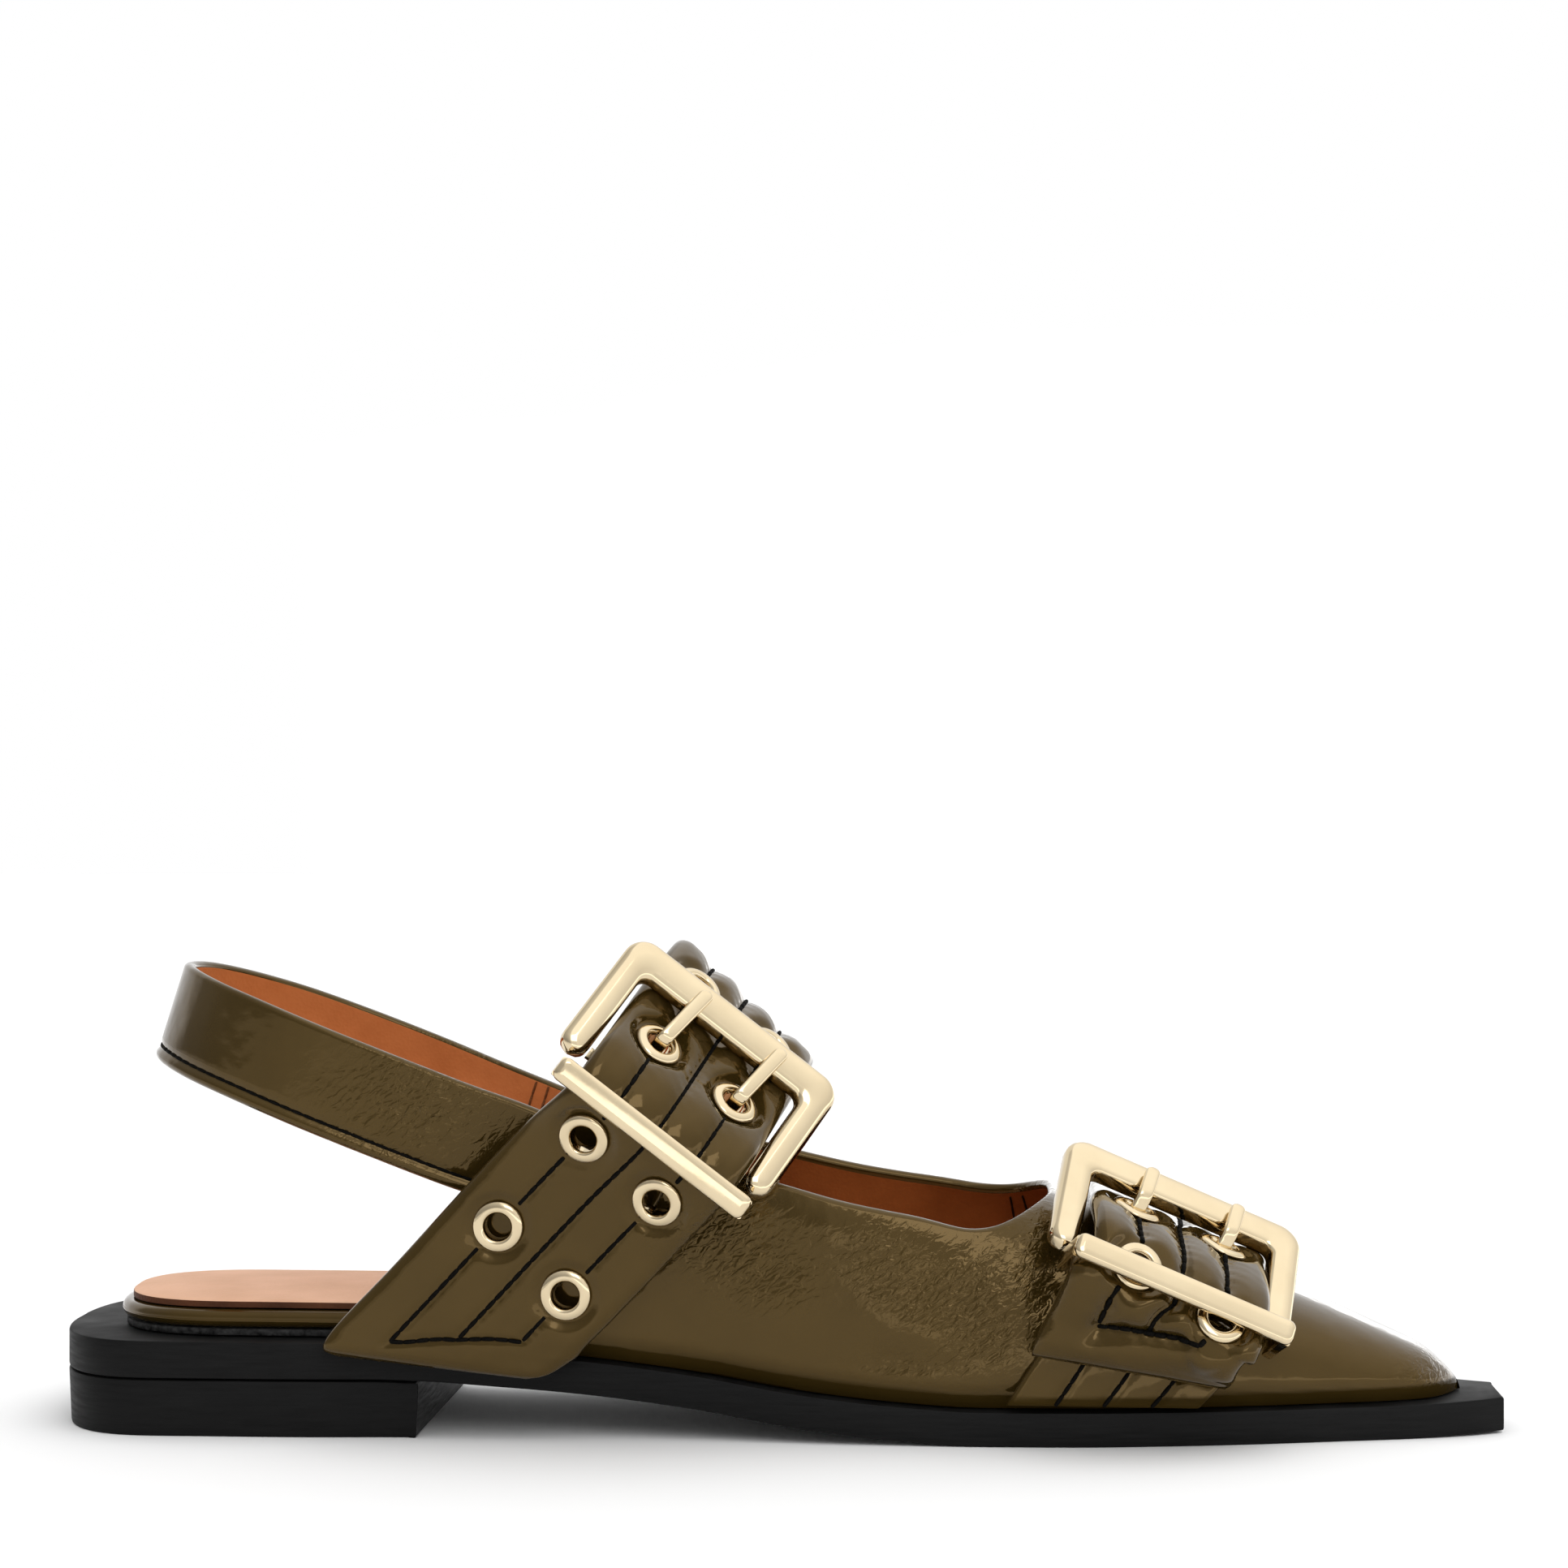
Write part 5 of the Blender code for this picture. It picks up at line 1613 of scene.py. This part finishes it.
def keeper_metal(name, buckle, node):
    """Keeper: the bar over the strap's tail and the lugs that carry it at the pin."""
    lean = math.radians(KEEPER_LEAN)
    along = buckle.l * math.cos(lean) + buckle.n * math.sin(lean)
    up = buckle.n * math.cos(lean) - buckle.l * math.sin(lean)
    under = buckle.point(KEEPER_L, KEEPER_N)
    rings = []
    for inset, height in KEEPER_PILLOW:
        corners = rounded_bar(KEEPER_LENGTH / 2 - inset, KEEPER_BAR / 2 - inset,
                              KEEPER_CORNER - inset * CORNER_SHRINK)
        rings.append([under + buckle.w * w + along * l + up * height for w, l in corners])
    lofts = [rings]
    for side in (-1, 1):
        lug = under + buckle.w * (side * (KEEPER_LENGTH - KEEPER_THICK) / 2)
        rings = []
        for depth, size in LUG_FORM:
            corners = rounded_bar(KEEPER_THICK / 2 * size, LUG_HALF * size, LUG_CORNER * size)
            rings.append([lug + buckle.w * w + along * l - up * depth for w, l in corners])
        lofts.append(rings)
    settle(name, mesh_of(name, *gathered(lofts), [GOLD], sharp=50), "metal", node)


def squared(share):
    """A sine or cosine drawn toward the sides of a square, for bars with soft corners."""
    return math.copysign(abs(share) ** PRONG_SQUARENESS, share)


def prong(name, buckle, w, node):
    """Prong: a flat bar looped on the pin, up through its eyelet and over the top bar, with a round tip."""
    hole_l, hole_n = buckle.eyelet
    path = list(PRONG_LOOP)
    path += [(hole_l + l, hole_n + n) for l, n in PRONG_BEND]
    path.append((hole_l + PRONG_OVER[0], PRONG_OVER[1]))
    path += [(FRAME_TOP + l, n) for l, n in PRONG_REST]
    samples = through(path, PRONG_PARTS)
    tip = Vector(samples[-1])
    rings = []
    for i, (l, n) in enumerate(samples):
        ahead = Vector(samples[min(i + 1, len(samples) - 1)])
        behind = Vector(samples[max(i - 1, 0)])
        run = (ahead - behind).normalized()
        up = buckle.l * -run.y + buckle.n * run.x
        left = min((tip - Vector((l, n))).length / PRONG_HALF, 1.0)
        narrow = max(math.sqrt(max(1 - (1 - left) ** 2, 0.0)), PRONG_TIP_LEAST)
        middle = w + PRONG_LEAN * (l - hole_l)
        ring = []
        for k in range(PRONG_FACES):
            turn = 2 * math.pi * k / PRONG_FACES
            across = squared(math.cos(turn)) * PRONG_HALF * narrow
            rise = squared(math.sin(turn)) * PRONG_THICK * between(PRONG_TIP_THICK, 1.0, narrow)
            ring.append(buckle.point(l, n, middle + across) + up * rise)
        rings.append(ring)
    lofted(name, rings, GOLD, "metal", node, sharp=60)


def buckle_set(label, buckle):
    """One buckle's metal, and the look of its CAD pin."""
    frame_metal(label + "_frame_metal", buckle, label + "_buckle_frame")
    keeper_metal(label + "_keeper_metal", buckle, label + "_keeper")
    for side, w in (("rear", -PRONG_W), ("front", PRONG_W)):
        prong("%s_prong_metal_%s" % (label, side), buckle, w, "%s_prong_%s" % (label, side))
    pin = frame["nodes"][label + "_pin"]
    pin.data.materials.clear()
    pin.data.materials.append(GOLD)


# Build the shoe
sole()
boards()
upper()
lining_seams()
padded_strap("instep_strap", INSTEP_ROWS, instep_buckle, INSTEP_EYELETS, INSTEP_BOX, INSTEP_QUILTING,
             INSTEP_THREAD)
padded_strap("toe_strap", TOE_ROWS, toe_buckle, TOE_EYELETS, TOE_BOX, TOE_QUILTING, TOE_THREAD)
bases()
slingback()
buckle_set("instep", instep_buckle)
buckle_set("toe", toe_buckle)


# Stage: a white table, soft light from above, a studio with panels of different brightness
TABLE_HALF = 4.0
TABLE_TONES = ((0.3, (0.90, 0.90, 0.90)), (0.7, (0.92, 0.92, 0.92)))
SKY_TOWARD = (0.05, -0.12, 1.0)
SKY_STRENGTH = 0.55
SKY_SPREAD = 70.0            # degrees


def floor():
    """White table."""
    mesh = bpy.data.meshes.new("floor")
    corners = ((-1, -1), (1, -1), (1, 1), (-1, 1))
    mesh.from_pydata([(x * TABLE_HALF, y * TABLE_HALF, 0.0) for x, y in corners], [], [(0, 1, 2, 3)])
    look = Look("floor_paper", Roughness=0.9, Specular_IOR_Level=0.2)
    look.put("Base Color", look.ramp(look.speckle(3.0), TABLE_TONES))
    mesh.materials.append(look.material)
    added("floor", mesh)


def sky_light():
    """Very soft sun that lights the table evenly and shows in no reflection."""
    data = bpy.data.lights.new("sky_light", "SUN")
    data.energy = SKY_STRENGTH
    data.angle = math.radians(SKY_SPREAD)
    obj = added("sky_light", data)
    obj.rotation_euler = Vector(SKY_TOWARD).to_track_quat("Z", "Y").to_euler()
    obj.visible_glossy = False


# The studio as seen in the patent leather and the metal. Each panel is a product of gradients:
# an axis of the direction, and rows of the direction's part along that axis and the brightness there
FRONT_ROOM = (
    ("Z", ((0.10, 1.9), (0.13, 0.85), (0.36, 0.95), (0.60, 1.2), (0.76, 1.4))),
    ("X", ((-0.60, 0.40), (-0.12, 0.55), (0.0, 1.0))),
)
SOFTBOX = (
    ("Z", ((0.40, 0.0), (0.44, 3.2), (0.70, 3.2), (0.74, 0.0))),
    ("X", ((0.0, 0.0), (0.06, 1.0), (0.40, 1.0), (0.46, 0.0))),
    ("Y", ((-0.20, 1.0), (-0.05, 0.0))),
)
RIGHT_PANEL = (("X", ((0.30, 0.0), (0.42, 1.05), (0.75, 0.95), (0.95, 0.5))),)
BACK_WALL = (("Y", ((0.1, 0.0), (0.4, 1.0))),)
MIX_FIRST, MIX_SECOND, MIX_RESULT = 6, 7, 2    # the colour sockets of a mix node


def world():
    """Studio whose light is the brightest of its panels in every direction."""
    room = bpy.data.worlds.new("studio")
    room.use_nodes = True
    kit = Nodes(room.node_tree)
    direction = kit.node("ShaderNodeTexCoord").outputs["Generated"]
    parts = kit.node("ShaderNodeSeparateXYZ", [(0, direction)]).outputs

    def graded(axis, table):
        """Brightness along one axis of the direction."""
        along = kit.span(parts[axis], first=0.0, last=1.0, start=-1.0)
        return kit.ramp(along, [((part + 1) / 2, (bright,) * 3) for part, bright in table])

    def blended(blend, colors):
        """All colours mixed one after another."""
        whole = colors[0]
        for color in colors[1:]:
            mix = kit.node("ShaderNodeMix", data_type="RGBA", blend_type=blend)
            mix.inputs["Factor"].default_value = 1.0
            kit.tree.links.new(whole, mix.inputs[MIX_FIRST])
            kit.tree.links.new(color, mix.inputs[MIX_SECOND])
            whole = mix.outputs[MIX_RESULT]
        return whole

    panels = [blended("MULTIPLY", [graded(axis, table) for axis, table in panel])
              for panel in (FRONT_ROOM, SOFTBOX, RIGHT_PANEL, BACK_WALL)]
    background = kit.tree.nodes["Background"]
    kit.tree.links.new(blended("LIGHTEN", panels), background.inputs["Color"])
    bpy.context.scene.world = room


CAMERA = (177.69, -677.42, 119.7)
CAMERA_AHEAD = (-0.06105, 0.99813, 0.0)
CAMERA_LENS = 81.99
CAMERA_SENSOR = 36.0


def camera():
    """Camera at the photo's angle."""
    data = bpy.data.cameras.new("camera")
    data.lens = CAMERA_LENS
    data.sensor_width = CAMERA_SENSOR
    obj = added("camera", data)
    obj.location = place(CAMERA)
    obj.rotation_euler = Vector(CAMERA_AHEAD).to_track_quat("-Z", "Y").to_euler()
    bpy.context.scene.camera = obj


floor()
world()
sky_light()
camera()
bpy.context.scene.view_settings.view_transform = "Standard"
